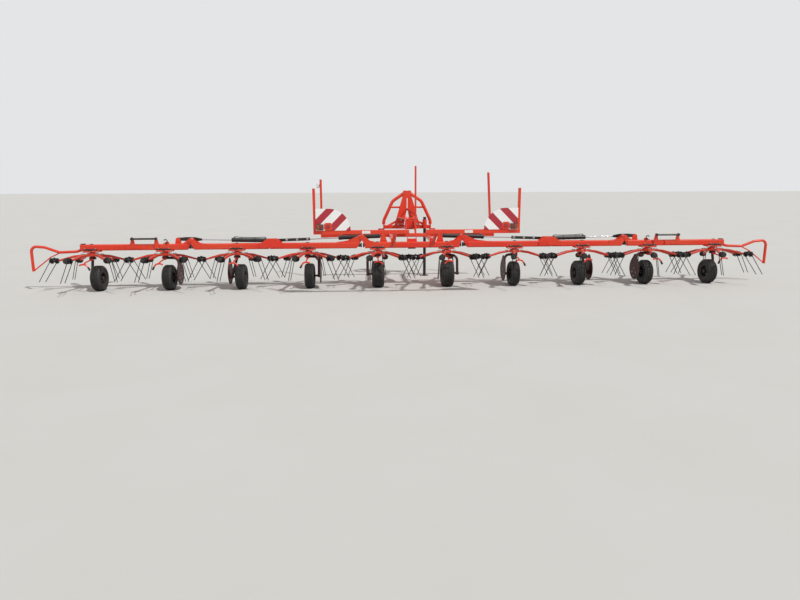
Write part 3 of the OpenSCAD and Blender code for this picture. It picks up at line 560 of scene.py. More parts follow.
class Shape:
    """The faces of one piece, gathered from simple forms."""

    def __init__(self) -> None:
        """Starts with no faces."""
        self.mesh = bmesh.new()
        self.hollow = self.mesh.verts.layers.float.new("hollow")

    def loft(self, rings: Sequence[Sequence[Point]], caps: bool = True,
             loop: bool = False) -> list[list[Any]]:
        """Skins a row of closed rings that have the same number of points.

        Args:
            rings: the rings' points.
            caps: closes the first and the last ring with a face.
            loop: joins the last ring to the first.

        Returns:
            The vertices of each ring.
        """
        made = [[self.mesh.verts.new(p) for p in ring] for ring in rings]
        pairs = list(zip(made, made[1:])) + ([(made[-1], made[0])] if loop else [])
        count = len(made[0])
        for low, high in pairs:
            for i in range(count):
                k = (i + 1) % count
                self.mesh.faces.new((low[i], low[k], high[k], high[i]))
        if caps and not loop:
            self.mesh.faces.new(list(reversed(made[0])))
            self.mesh.faces.new(made[-1])
        return made

    def prism(self, outline: Sequence[tuple[float, float]], place: Matrix, low: float, high: float,
              chamfer: float = 0.0) -> None:
        """Extrudes an outline along the local Z axis, with an optional chamfer at both ends.

        Args:
            outline: counter-clockwise points in the local XY plane.
            place: the local frame.
            low: where the extrusion starts.
            high: where it ends.
            chamfer: how far the ends are drawn in.
        """
        middle = Vector((sum(p[0] for p in outline), sum(p[1] for p in outline))) / len(outline)
        reach = max((Vector(p) - middle).length for p in outline)
        shrink = 1 - chamfer / reach
        levels = [(low, 1.0), (high, 1.0)]
        if chamfer:
            levels = [(low, shrink), (low + chamfer, 1.0), (high - chamfer, 1.0), (high, shrink)]
        rings = []
        for z, scale in levels:
            flat = [middle + (Vector(p) - middle) * scale for p in outline]
            rings.append([place @ Vector((p.x, p.y, z)) for p in flat])
        self.loft(rings)

    def rod(self, start: Point, end: Point, radius: float, steps: int = 16, chamfer: float = 0.0) -> None:
        """Adds a round rod between two points."""
        a, b = Vector(start), Vector(end)
        self.prism(circle(radius, steps), frame_at(a, b - a), 0.0, (b - a).length, chamfer)

    def tube(self, points: Sequence[Point], radius: float, steps: int = 10) -> None:
        """Adds a round tube along a row of points.

        Args:
            points: the points of its middle line.
            radius: its outer radius.
            steps: how many sides it has.
        """
        path = [Vector(p) for p in points]
        side = (path[1] - path[0]).orthogonal()
        rings = []
        for i, middle in enumerate(path):
            place = frame_at(middle, path[min(i + 1, len(path) - 1)] - path[max(i - 1, 0)], side)
            side = place.to_3x3().col[0]
            rings.append([place @ Vector((x, y, 0)) for x, y in circle(radius, steps)])
        self.loft(rings)

    def box(self, low: Point, high: Point, corner: float = 0.004) -> None:
        """Adds an upright box with round vertical corners and chamfered ends.

        Args:
            low: the corner with the least X, Y and Z.
            high: the opposite corner.
            corner: the radius of the upright corners, and twice the chamfer.
        """
        a, b = Vector(low), Vector(high)
        size = b - a
        place = Matrix.Translation((a + b) / 2)
        self.prism(rounded_box(size.x, size.y, corner), place, -size.z / 2, size.z / 2, corner / 2)

    def revolve(self, profile: Sequence[tuple[float, float]], place: Matrix, steps: int = 32) -> None:
        """Turns a closed profile of radius and height about the local Z axis.

        Args:
            profile: points in order round the section, clear of the axis.
            place: the local frame.
            steps: how many sections the full turn has.
        """
        rings = []
        for i in range(steps):
            t = 2 * math.pi * i / steps
            rings.append([place @ Vector((r * math.cos(t), r * math.sin(t), z)) for r, z in profile])
        self.loft(rings, caps=False, loop=True)

    def dome(self, radius: float, height: float, place: Matrix, steps: int = 24) -> None:
        """Adds a flat-bottomed round cap with a rounded rim and top.

        Args:
            radius: the radius of its foot.
            height: its height.
            place: the local frame, with the foot at its origin.
            steps: how many sides it has.
        """
        # Shares of the radius and the height
        levels = [(1.0, 0.0), (1.0, 0.55), (0.93, 0.8), (0.78, 0.93), (0.4, 1.0)]
        unit = circle(1.0, steps)
        self.loft([[place @ Vector((x * radius * s, y * radius * s, height * h)) for x, y in unit]
                   for s, h in levels])

    def plain(self, name: str) -> bpy.types.Mesh:
        """Closes the shape's mesh: merges doubles and turns faces outwards.

        Args:
            name: the mesh's name.

        Returns:
            The finished mesh.
        """
        bmesh.ops.remove_doubles(self.mesh, verts=self.mesh.verts, dist=1e-6)
        bmesh.ops.recalc_face_normals(self.mesh, faces=self.mesh.faces)
        data = bpy.data.meshes.new(name)
        self.mesh.to_mesh(data)
        self.mesh.free()
        return data

    def piece(self, name: str, look: Look, body: str, slot: str, smooth: float = 35.0) -> bpy.types.Object:
        """Makes the shape a piece that rides on a body.

        Args:
            name: the piece's name.
            look: its finish.
            body: the body that carries it.
            slot: the record's material slot; not used.
            smooth: the angle in degrees under which edges are shaded smooth.

        Returns:
            The piece.
        """
        return settle(self.plain(name), name, look, body, smooth)


def settle(data: bpy.types.Mesh, name: str, look: Look, body: str,
           smooth: float = 35.0) -> bpy.types.Object:
    """Makes a finished mesh a piece that rides on a body.

    Args:
        data: the mesh, in the model's frame.
        name: the piece's name.
        look: its finish.
        body: the body that carries it.
        smooth: the angle in degrees under which edges are shaded smooth.

    Returns:
        The piece.
    """
    data.name = name
    data.materials.clear()
    data.materials.append(look.material)
    data.shade_smooth()
    data.set_sharp_from_angle(angle=math.radians(smooth))
    made = bpy.data.objects.new(name, data)
    bpy.context.scene.collection.objects.link(made)
    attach(made, body)
    LOG.info("%s on %s: %d faces", name, body, len(data.polygons))
    return made


# Geometry Nodes


def new_tree(name: str, sockets: dict[str, str]) -> tuple[bpy.types.NodeTree, bpy.types.Node]:
    """Starts a Geometry Nodes tree with named inputs and one geometry output.

    Args:
        name: the tree's name.
        sockets: the type of each input after the geometry, by name.

    Returns:
        The tree and its input node.
    """
    tree = bpy.data.node_groups.new(name, "GeometryNodeTree")
    tree.interface.new_socket("Geometry", in_out="INPUT", socket_type="NodeSocketGeometry")
    for label, kind in sockets.items():
        tree.interface.new_socket(label, in_out="INPUT", socket_type=kind)
    tree.interface.new_socket("Geometry", in_out="OUTPUT", socket_type="NodeSocketGeometry")
    return tree, add(tree, "NodeGroupInput")


def close_tree(tree: bpy.types.NodeTree, inputs: bpy.types.Node, geometry: Any) -> bpy.types.NodeTree:
    """Ends a tree in Realize Instances and Set Material.

    Args:
        tree: the tree.
        inputs: its input node, which has a Material socket.
        geometry: the socket of the geometry so far.

    Returns:
        The tree.
    """
    real = add(tree, "GeometryNodeRealizeInstances", links={"Geometry": geometry})
    dressed = add(tree, "GeometryNodeSetMaterial", links={
        "Geometry": real.outputs[0], "Material": inputs.outputs["Material"]})
    add(tree, "NodeGroupOutput", links={0: dressed.outputs[0]})
    return tree


def ring_tree() -> bpy.types.NodeTree:
    """Makes the tree that repeats a part round the local Z axis, such as a rotor's arms or a tyre's blocks.

    Returns:
        The tree, with a Count input.
    """
    tree, inputs = new_tree("repeat_round_axis", {"Count": "NodeSocketInt", "Material": "NodeSocketMaterial"})
    points = add(tree, "GeometryNodePoints", links={"Count": inputs.outputs["Count"]})
    step = add(tree, "ShaderNodeMath", {"operation": "DIVIDE"}, {0: 2 * math.pi, 1: inputs.outputs["Count"]})
    angle = add(tree, "ShaderNodeMath", {"operation": "MULTIPLY"}, {
        0: add(tree, "GeometryNodeInputIndex").outputs[0], 1: step.outputs[0]})
    euler = add(tree, "ShaderNodeCombineXYZ", links={"Z": angle.outputs[0]})
    turn = add(tree, "FunctionNodeEulerToRotation", links={0: euler.outputs[0]})
    copies = add(tree, "GeometryNodeInstanceOnPoints", links={
        "Points": points.outputs[0], "Instance": inputs.outputs["Geometry"], "Rotation": turn.outputs[0]})
    return close_tree(tree, inputs, copies.outputs[0])


def sweep_tree() -> bpy.types.NodeTree:
    """Makes the tree that lays a round wire along a chain of edges.

    Returns:
        The tree, with Radius and Sides inputs.
    """
    tree, inputs = new_tree("wire_along_path", {
        "Radius": "NodeSocketFloat", "Sides": "NodeSocketInt", "Material": "NodeSocketMaterial"})
    path = add(tree, "GeometryNodeMeshToCurve", links={"Mesh": inputs.outputs["Geometry"]})
    section = add(tree, "GeometryNodeCurvePrimitiveCircle", links={
        "Resolution": inputs.outputs["Sides"], "Radius": inputs.outputs["Radius"]})
    wire = add(tree, "GeometryNodeCurveToMesh", links={
        "Curve": path.outputs[0], "Profile Curve": section.outputs[0], "Fill Caps": True})
    return close_tree(tree, inputs, wire.outputs[0])


# Washer, hexagon and end of a bolt: sides, radius, depth and height of the middle, in widths across flats
BOLT_PARTS = ((20, 0.92, 0.14, 0.07), (6, 0.577, 0.5, 0.38), (16, 0.44, 0.08, 0.66))


def bolt_tree() -> bpy.types.NodeTree:
    """Makes the tree that sets a bolt on each point, turned by its facing and sized by its across attribute.

    Returns:
        The tree.
    """
    tree, inputs = new_tree("hexagon_bolts", {"Material": "NodeSocketMaterial"})
    parts = []
    for sides, radius, depth, height in BOLT_PARTS:
        solid = add(tree, "GeometryNodeMeshCylinder", links={
            "Vertices": sides, "Radius": radius, "Depth": depth})
        parts.append(add(tree, "GeometryNodeTransform", links={
            "Geometry": solid.outputs[0], "Translation": (0, 0, height)}).outputs[0])
    head = add(tree, "GeometryNodeJoinGeometry")
    for part in parts:
        tree.links.new(part, head.inputs[0])
    facing = add(tree, "GeometryNodeInputNamedAttribute", {"data_type": "FLOAT_VECTOR"}, {"Name": "facing"})
    across = add(tree, "GeometryNodeInputNamedAttribute", {"data_type": "FLOAT"}, {"Name": "across"})
    turn = add(tree, "FunctionNodeAlignRotationToVector", {"axis": "Z"}, {"Vector": facing.outputs[0]})
    copies = add(tree, "GeometryNodeInstanceOnPoints", links={
        "Points": inputs.outputs["Geometry"], "Instance": head.outputs[0], "Rotation": turn.outputs[0],
        "Scale": across.outputs[0]})
    return close_tree(tree, inputs, copies.outputs[0])


def grown(data: bpy.types.Mesh, steps: Sequence[tuple[bpy.types.NodeTree, dict[str, Any]]]) -> bpy.types.Mesh:
    """Runs Geometry Nodes trees on a mesh, one after the other, and gives the plain mesh that comes out.

    Args:
        data: the mesh that goes in.
        steps: each tree with the values of its named inputs.

    Returns:
        The evaluated mesh.
    """
    carrier = bpy.data.objects.new("carrier", data)
    bpy.context.scene.collection.objects.link(carrier)
    for tree, values in steps:
        modifier = carrier.modifiers.new(tree.name, "NODES")
        modifier.node_group = tree
        for item in tree.interface.items_tree:
            if item.in_out == "INPUT" and item.name in values:
                modifier[item.identifier] = values[item.name]
    evaluated = carrier.evaluated_get(bpy.context.evaluated_depsgraph_get())
    made = bpy.data.meshes.new_from_object(evaluated)
    bpy.data.objects.remove(carrier)
    return made


def chain(points: Sequence[Point]) -> bpy.types.Mesh:
    """Makes a mesh of edges that join points in order.

    Args:
        points: the points.

    Returns:
        The mesh.
    """
    data = bpy.data.meshes.new("chain")
    data.from_pydata([tuple(p) for p in points], [(i, i + 1) for i in range(len(points) - 1)], [])
    return data


@dataclass
class Trees:
    """The Geometry Nodes trees, each built once."""

    ring: bpy.types.NodeTree = field(default_factory=ring_tree)
    sweep: bpy.types.NodeTree = field(default_factory=sweep_tree)
    bolts: bpy.types.NodeTree = field(default_factory=bolt_tree)


@dataclass
class Bolts:
    """Hexagon bolts of one body, gathered as points and made in one go."""

    body: str
    points: list[tuple[Vector, Vector, float]] = field(default_factory=list)

    def put(self, place: Point, facing: Point, across: float = 0.019) -> None:
        """Notes a bolt's seat, the way its head looks and its width across flats."""
        self.points.append((Vector(place), Vector(facing).normalized(), across))

    def ring(self, middle: Point, facing: Point, radius: float, count: int, across: float = 0.017) -> None:
        """Notes a circle of bolts.

        Args:
            middle: the circle's middle.
            facing: the way the heads look.
            radius: the circle's radius.
            count: how many bolts it has.
            across: their width across flats.
        """
        place = frame_at(middle, facing)
        for px, py in circle(radius, count):
            self.put(place @ Vector((px, py, 0)), facing, across)

    def build(self, trees: Trees) -> None:
        """Makes the body's bolts one piece.

        Args:
            trees: the Geometry Nodes trees.
        """
        if not self.points:
            return
        data = bpy.data.meshes.new("bolt_seats")
        data.from_pydata([tuple(p) for p, _, _ in self.points], [], [])
        data.attributes.new("facing", "FLOAT_VECTOR", "POINT")
        data.attributes.new("across", "FLOAT", "POINT")
        for i, (_, way, size) in enumerate(self.points):
            data.attributes["facing"].data[i].vector = way
            data.attributes["across"].data[i].value = size
        made = grown(data, [(trees.bolts, {"Material": Look.ZINC.material})])
        settle(made, f"{self.body}_bolts", Look.ZINC, self.body, 30.0)


@dataclass
class Machine:
    """What the frame says: joints by name, the trees and each body's bolts."""

    frame: dict[str, Any]
    trees: Trees
    rest_angle: float = 15.0
    joints: dict[str, dict[str, Any]] = field(init=False)
    bolts: dict[str, Bolts] = field(init=False)

    def __post_init__(self) -> None:
        """Indexes the joints and starts a bolt list for each body."""
        self.joints = {j["name"]: j for j in self.frame["joints"]}
        self.bolts = {b: Bolts(b) for b in self.frame["bodies"]}

    def rotor_place(self, i: int) -> Matrix:
        """Gives the local frame of rotor i, with its tilt and its angle at rest.

        Args:
            i: the rotor's number.

        Returns:
            The matrix from the rotor's frame to the model's.
        """
        joint = self.joints[f"rotor_{i}_spin"]
        tilted = Matrix.Rotation(-math.atan2(joint["axis"][1], joint["axis"][2]), 4, "X")
        turned = Matrix.Rotation(math.radians(self.rest_angle), 4, "Z")
        return Matrix.Translation(joint["pos_m"]) @ tilted @ turned

    def carrier(self, i: int) -> str:
        """Gives the body that carries rotor i."""
        return self.joints[f"rotor_{i}_spin"]["parent"]

    def leg_side(self, i: int) -> int:
        """Gives the side of wheel i on which its leg stands: -1 is left and 1 is right."""
        outward = 1 if self.joints[f"rotor_{i}_spin"]["pos_m"][0] > 0 else -1
        return outward if i in OUTER_LEGS else -outward


# Rotors


@dataclass
class Rotor:
    """A tined rotor: pressed dish, drooping arms, and a pair of spring tines round the end of each arm."""

    arms: int = 6
    bore: float = 0.0381
    boss: float = 0.072
    dish: float = 0.160
    coil_mid: float = 0.516
    coil_z: float = -0.092
    coil_out: float = 0.043
    tine_gap: float = 0.098
    tip: tuple[float, float] = (0.725, -0.400)  # radius and level of the outer tine's tip
    tip_gap: float = 0.0833
    wire: float = 0.005
    wire_sides: int = 8
    turns: float = 3.25
    turn_steps: int = 16
    pitch: float = 0.0104
    spool: float = 0.0255
    spool_half: float = 0.062
    washer_radius: float = 0.0355
    washer: float = 0.005
    saddle_half: tuple[float, float] = (0.013, 0.014)
    saddle_foot: float = 0.020
    strap: float = 0.004
    strap_nut: float = 0.0075
    end_nut: float = 0.0135
    arm_bolts: tuple[tuple[float, float], ...] = ((0.122, -0.0012), (0.150, -0.0022))  # radius and level

    def hub(self) -> bpy.types.Mesh:
        """Turns the dish with its boss, swage and rolled rim.

        Returns:
            The mesh in the rotor's frame.
        """
        section = [  # radius and level, from the foot of the bore round the rim and back over the top
            (self.bore, -0.035), (self.boss - 0.004, -0.035), (self.boss, -0.031),
            (self.boss + 0.006, -0.020), (0.104, -0.0185), (0.120, -0.0235), (0.150, -0.0255),
            (self.dish - 0.002, -0.0262), (self.dish, -0.023), (self.dish, -0.015),
            (self.dish - 0.003, -0.0125), (0.142, -0.0115), (0.130, -0.0075), (0.118, -0.0085),
            (0.106, -0.0035), (self.boss + 0.012, 0.0025), (self.boss + 0.002, 0.007), (self.boss, 0.012),
            (self.boss, 0.019), (self.boss - 0.003, 0.022), (self.bore, 0.022),
        ]
        shape = Shape()
        shape.revolve(section, Matrix.Identity(4), 48)
        return shape.plain("hub")

    def arm(self) -> bpy.types.Mesh:
        """Lofts one arm from the dish, over its knee and down to the coils.

        Returns:
            The mesh in the rotor's frame, along X.
        """
        sections = [  # distance out, level, width and height
            (0.110, -0.0130, 0.052, 0.024), (0.150, -0.0175, 0.050, 0.031), (0.200, -0.0225, 0.045, 0.034),
            (0.244, -0.0282, 0.042, 0.034), (0.264, -0.0330, 0.042, 0.034), (0.340, -0.0545, 0.041, 0.032),
            (0.420, -0.0775, 0.039, 0.029), (0.472, -0.0920, 0.036, 0.026),
        ]
        shape = Shape()
        rings = []
        for r, z, width, height in sections:
            outline = rounded_box(width, height, 0.3 * height, 3)
            rings.append([Vector((r + 0.2 * q, p, z + q)) for p, q in outline])
        shape.loft(rings)
        return shape.plain("arm")

    def clamp(self) -> bpy.types.Mesh:
        """Makes the spool that carries one arm's coils, its washers and the saddle that holds their loop.

        Returns:
            The mesh in the rotor's frame, for the arm along X.
        """
        shape = Shape()
        place = frame_at((0, 0, self.coil_z), (1, 0, 0))
        inner, outer = self.coil_mid - self.spool_half, self.coil_mid + self.spool_half
        shape.prism(circle(self.spool, 20), place, inner, outer, 0.002)
        for x in (inner + 0.001, outer - self.washer - 0.001):
            shape.prism(circle(self.washer_radius, 24), place, x, x + self.washer, 0.0012)
        loop = self.coil_z + self.coil_out
        half_x, half_y = self.saddle_half
        low, high = self.coil_mid - half_x, self.coil_mid + half_x
        shape.box((low, -half_y, self.coil_z + self.saddle_foot), (high, half_y, loop - 2 * self.wire), 0.002)
        shape.box((low, -half_y, loop), (high, half_y, loop + self.strap), 0.002)
        nut = frame_at((self.coil_mid, 0, loop), (0, 0, 1))
        shape.prism(circle(self.strap_nut, 6), nut, 0.003, 0.011, 0.001)
        shape.prism(circle(self.end_nut, 6), place, outer - 0.002, outer + 0.011, 0.0015)
        return shape.plain("clamp")

    def spring_path(self, hand: int) -> list[Vector]:
        """Follows the wire of a pair of tines: tip, coil, loop over the arm's end, coil, tip.

        Args:
            hand: the side of the arm, 1 or -1, on which the tines trail.

        Returns:
            Points in the rotor's frame, for the arm along X.
        """
        radius = self.coil_out - self.wire
        side = hand * radius
        starts = [self.coil_mid - self.tine_gap / 2, self.coil_mid + self.tine_gap / 2]
        tips = [self.tip[0] - self.tip_gap, self.tip[0]]
        steps = int(self.turns * self.turn_steps)
        halves = []
        for way, start, tip in zip((1, -1), starts, tips):
            top, foot = Vector((start, side, self.coil_z)), Vector((tip, side, self.tip[1]))
            half = [top.lerp(foot, u) for u in (1.0, 0.75, 0.5, 0.25, 0.08)]
            for i in range(steps + 1):
                turned = 2 * math.pi * self.turns * i / steps
                x = start + way * self.pitch * self.turns * i / steps
                half.append(Vector((x, side * math.cos(turned), self.coil_z + radius * math.sin(turned))))
            halves.append(half)
        return halves[0] + [Vector((self.coil_mid, 0, self.coil_z + radius))] + halves[1][::-1]

    def per_arm(self, look: Look) -> dict[str, Any]:
        """Gives the inputs that repeat a part once an arm."""
        return {"Count": self.arms, "Material": look.material}

    def build(self, machine: Machine) -> None:
        """Makes the rotors' pieces from one set of parts.

        Args:
            machine: the machine that gets them.
        """
        ring, sweep = machine.trees.ring, machine.trees.sweep
        arms = grown(self.arm(), [(ring, self.per_arm(Look.ROTOR))])
        clamps = grown(self.clamp(), [(ring, self.per_arm(Look.BLACK))])
        wire = {"Radius": self.wire, "Sides": self.wire_sides, "Material": Look.SPRING.material}
        steps = [(sweep, wire), (ring, self.per_arm(Look.SPRING))]
        springs = {hand: grown(chain(self.spring_path(hand)), steps) for hand in (-1, 1)}
        hub = self.hub()
        for i in ROTORS:
            body = f"rotor_{i}"
            place = machine.rotor_place(i)
            spring = springs[1 if i % 2 else -1]
            for kind, source, look in (("arms", arms, Look.ROTOR), ("hub", hub, Look.ROTOR),
                                       ("clamps", clamps, Look.BLACK), ("springs", spring, Look.SPRING)):
                data = source.copy()
                data.transform(place)
                settle(data, f"{body}_{kind}", look, body)
            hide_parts(body)
            self.bolt(machine.bolts[body], place)

    def bolt(self, bolts: Bolts, place: Matrix) -> None:
        """Notes the bolts that hold the arms to the dish.

        Args:
            bolts: the rotor's bolts.
            place: the rotor's frame.
        """
        for k in range(self.arms):
            turned = place @ Matrix.Rotation(2 * math.pi * k / self.arms, 4, "Z")
            up = turned.to_3x3() @ Vector((0, 0, 1))
            for r, z in self.arm_bolts:
                bolts.put(turned @ Vector((r, 0.0, z)), up)


# Wheels


@dataclass
class Tyre:
    """A ribbed implement tyre: zigzag grooves, notched shoulders and ringed sidewalls."""

    rim_radius: float = 0.095
    bead_height: float = 0.010
    flange: float = 0.005
    rim_share: float = 0.8
    pitch_mm: float = 46.0
    groove: float = 0.0085
    zigzag: tuple[float, ...] = (-1.0, 0.0, 1.0, 0.0, -1.0)
    sway: float = 0.004
    notched: tuple[int, ...] = (1, 2)
    notch: float = 0.007
    notch_dust: float = 0.9

    def profile(self, radius: float, half: float) -> list[tuple[float, float, float]]:
        """Gives the section from one bead to the other.

        Args:
            radius: outer radius.
            half: half the section's width.

        Returns:
            Rows of radius, place across the tyre, and how much dust settles, from 0 to 1.
        """
        bead = half * self.rim_share - self.flange
        wall = radius - self.rim_radius - self.bead_height
        base = self.rim_radius + self.bead_height
        side = [
            (self.rim_radius, bead, 0.0), (base + 0.002, bead, 0.3), (base + 0.05 * wall, bead + 0.004, 0.8),
            (base + 0.08 * wall, bead + 0.0045, 0.2), (base + 0.16 * wall, half - 0.0115, 0.2),
            (base + 0.2 * wall, half - 0.011, 0.9), (base + 0.24 * wall, half - 0.0065, 0.2),
            (base + 0.42 * wall, half - 0.001, 0.1), (base + 0.46 * wall, half - 0.003, 0.8),
            (base + 0.50 * wall, half - 0.001, 0.1), (base + 0.62 * wall, half - 0.002, 0.1),
            (radius - 0.24 * wall, half - 0.006, 0.2), (radius - 0.012, half - 0.015, 0.1),
            (radius - 0.005, half - 0.023, 0.0), (radius - 0.001, half * 0.62, 0.0),
        ]
        tread = []
        for place in (0.46, 0.12):
            a, b = half * (place + 0.045), half * (place - 0.045)
            tread += [(radius - 0.0005, a + 0.002, 0.0), (radius - self.groove, a - 0.002, 1.0),
                      (radius - self.groove, b + 0.002, 1.0), (radius, b - 0.002, 0.0)]
        right = side + tread
        return right + [(r, -x, d) for r, x, d in reversed(right)]

    def sector(self, radius: float, half: float, count: int) -> bpy.types.Mesh:
        """Makes one pitch of the tread, from bead to bead and round the inside.

        Args:
            radius: outer radius.
            half: half the section's width.
            count: pitches in a full turn.

        Returns:
            The sector about the local Z axis.
        """
        shape = Shape()
        rows = self.profile(radius, half)
        grid = []
        for j, swing in enumerate(self.zigzag):
            angle = 2 * math.pi / count * j / (len(self.zigzag) - 1)
            ring = []
            for r, x, dust in rows:
                shift = self.sway * swing if r > radius - 0.011 and abs(x) < half * 0.55 else 0.0
                shoulder = half * 0.6 < abs(x) < half - 0.007 and r > radius - 0.02
                cut = shoulder and j in self.notched
                reach = r - (self.notch if cut else 0.0)
                vert = shape.mesh.verts.new((reach * math.cos(angle), reach * math.sin(angle), x + shift))
                vert[shape.hollow] = max(dust, self.notch_dust if cut else 0.0)
                ring.append(vert)
            grid.append(ring)
        for low, high in zip(grid, grid[1:]):
            for a in range(len(rows)):
                b = (a + 1) % len(rows)
                shape.mesh.faces.new((low[a], low[b], high[b], high[a]))
        return shape.plain("tread_sector")

    def build(self, machine: Machine) -> None:
        """Makes each wheel's tyre in the place of its plain solid.

        Args:
            machine: the machine that gets them.
        """
        for i in ROTORS:
            low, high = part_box(f"tyre_{i}")
            middle = (low + high) / 2
            radius, half = (high.z - low.z) / 2, (high.x - low.x) / 2
            count = round(2 * math.pi * radius / (self.pitch_mm * MM))
            sector = self.sector(radius, half, count)
            data = grown(sector, [(machine.trees.ring, {"Count": count, "Material": Look.TYRE.material})])
            data.transform(Matrix.Translation(middle) @ Matrix.Rotation(math.pi / 2, 4, "Y"))
            shape = Shape()
            shape.mesh.from_mesh(data)
            piece = shape.piece(f"wheel_{i}_tyre", Look.TYRE, f"wheel_{i}", "tyre", 40.0)
            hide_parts(f"tyre_{i}")


@dataclass
class Hub:
    """The wheel's nuts on both faces of its disc, and the tyre's valve."""

    nut_circle: float = 0.048
    nuts: int = 4
    nut_across: float = 0.019
    disc_half: float = 0.004
    valve_circle: float = 0.078
    valve_radius: float = 0.0042
    valve_end: tuple[float, float, float] = (0.036, 0, -0.004)

    def build(self, machine: Machine) -> None:
        """Makes each wheel's nuts and valve.

        Args:
            machine: the machine that gets them.
        """
        for i in ROTORS:
            low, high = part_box(f"rim_{i}")
            middle = (low + high) / 2
            bolts = machine.bolts[f"wheel_{i}"]
            for way in (-1, 1):
                face = middle + Vector((way * self.disc_half, 0, 0))
                bolts.ring(face, (way, 0, 0), self.nut_circle, self.nuts, self.nut_across)
            shape = Shape()
            stem = middle + Vector((self.disc_half, 0, self.valve_circle))
            shape.rod(stem, stem + Vector(self.valve_end), self.valve_radius, 10, 0.001)
            shape.piece(f"wheel_{i}_valve", Look.PLASTIC, f"wheel_{i}", "tyre")


# Stations


@dataclass
class Station:
    """What sits at each rotor on its beam: foot plate bolts, cap, lugs, flange and the tilt lever."""

    beam_top: float = 0.690
    beam_bottom: float = 0.600
    cap: tuple[float, float] = (0.026, 0.010)  # radius and height
    plate_top: float = 0.624
    plate_half: tuple[float, float] = (0.078, 0.060)
    flange_radius: float = 0.090
    flange_levels: tuple[float, float] = (0.0335, 0.0445)
    flange_circle: float = 0.0845
    flange_bolts: int = 6
    lug_x: tuple[float, float] = (0.018, 0.122)
    lug_y: tuple[float, float] = (0.022, 0.072)
    lug_drop: float = 0.025
    lug_bolt: tuple[float, float, float] = (0.108, 0.0715, 0.012)  # out, back and down
    lever_root: float = 0.468
    block_half: tuple[float, float] = (0.024, 0.016)
    block_y: tuple[float, float] = (0.030, 0.070)
    # The lever's and its hook's paths: to the hook's side, back and down from the root
    stem_path: tuple[Point, ...] = ((0, 0.050, 0), (0, 0.140, 0.010), (0, 0.250, 0.020),
                                    (0.004, 0.335, 0.036))
    hook_path: tuple[Point, ...] = ((-0.058, 0.339, 0.052), (-0.020, 0.335, 0.040), (0.030, 0.337, 0.044),
                                    (0.062, 0.341, 0.074), (0.088, 0.345, 0.122))
    stem_radius: float = 0.0105
    hook_radius: float = 0.0120
    grip_radius: float = 0.0145

    def build(self, machine: Machine) -> None:
        """Makes the pieces of all stations.

        Args:
            machine: the machine that gets them.
        """
        shapes: dict[str, dict[Look, Shape]] = {}
        for i in ROTORS:
            body = machine.carrier(i)
            sets = shapes.setdefault(body, {Look.BLACK: Shape(), Look.BEAM: Shape()})
            bolts = machine.bolts[body]
            x, y, _ = machine.joints[f"rotor_{i}_spin"]["pos_m"]
            sets[Look.BLACK].dome(*self.cap, Matrix.Translation((x, y, self.beam_top - 0.001)))
            self.flange(bolts, sets[Look.BEAM], machine.rotor_place(i))
            self.lugs(bolts, sets[Look.BEAM], x, y)
            self.lever(sets, x, y, -machine.leg_side(i))
            dx, dy = self.plate_half
            for sx in (-1, 1):
                for sy in (-1, 1):
                    bolts.put((x + sx * dx, y + sy * dy, self.plate_top), (0, 0, 1))
        for body, sets in shapes.items():
            sets[Look.BLACK].piece(f"{body}_caps", Look.BLACK, body, "cast")
            sets[Look.BEAM].piece(f"{body}_levers", Look.BEAM, body, "paint")

    def flange(self, bolts: Bolts, shape: Shape, place: Matrix) -> None:
        """Adds the gearbox flange with its bolts.

        Args:
            bolts: the body's bolts.
            shape: the shape that gets the flange.
            place: the rotor's frame.
        """
        low, high = self.flange_levels
        shape.prism(circle(self.flange_radius, 36), place, low, high, 0.002)
        down = place.to_3x3() @ Vector((0, 0, -1))
        for k in range(self.flange_bolts):
            turned = place @ Matrix.Rotation(2 * math.pi / self.flange_bolts * k, 4, "Z")
            bolts.put(turned @ Vector((self.flange_circle, 0, low)), down, 0.009)

    def lugs(self, bolts: Bolts, shape: Shape, x: float, y: float) -> None:
        """Adds the lugs by which the gearbox hangs from the beam, behind and in front.

        Args:
            bolts: the body's bolts.
            shape: the shape that gets the lugs.
            x: the rotor's place along the beam.
            y: the rotor's place along the way it travels.
        """
        level = self.beam_bottom
        out, back, down = self.lug_bolt
        for sx in (-1, 1):
            for sy in (-1, 1):
                x0, x1 = sorted(x + sx * a for a in self.lug_x)
                y0, y1 = sorted(y + sy * a for a in self.lug_y)
                shape.box((x0, y0, level - self.lug_drop), (x1, y1, level + 0.001), 0.006)
                bolts.put((x + sx * out, y + sy * back, level - down), (0, sy, 0), 0.013)

    def lever(self, sets: dict[Look, Shape], x: float, y: float, way: int) -> None:
        """Adds the hooked lever that sets the rotor's tilt, reaching back over the tyre.

        Args:
            sets: the shapes by finish.
            x: the rotor's place along the beam.
            y: the rotor's place along the way it travels.
            way: the side to which the hook points, -1 or 1.
        """
        root = self.lever_root
        (half_x, half_z), (near, far) = self.block_half, self.block_y
        block = (x - half_x, y - far, root - half_z), (x + half_x, y - near, root + half_z)
        sets[Look.BEAM].box(*block, 0.004)
        stem, hook = ([(x + way * a, y - b, root - c) for a, b, c in path]
                      for path in (self.stem_path, self.hook_path))
        sets[Look.BEAM].tube(curved(stem, 4), self.stem_radius)
        bent = curved(hook, 5)
        sets[Look.BEAM].tube(bent, self.hook_radius)
        grip = bent[-5:]
        sets[Look.BLACK].tube(grip + [grip[-1] + (grip[-1] - grip[-2]) * 0.5], self.grip_radius)


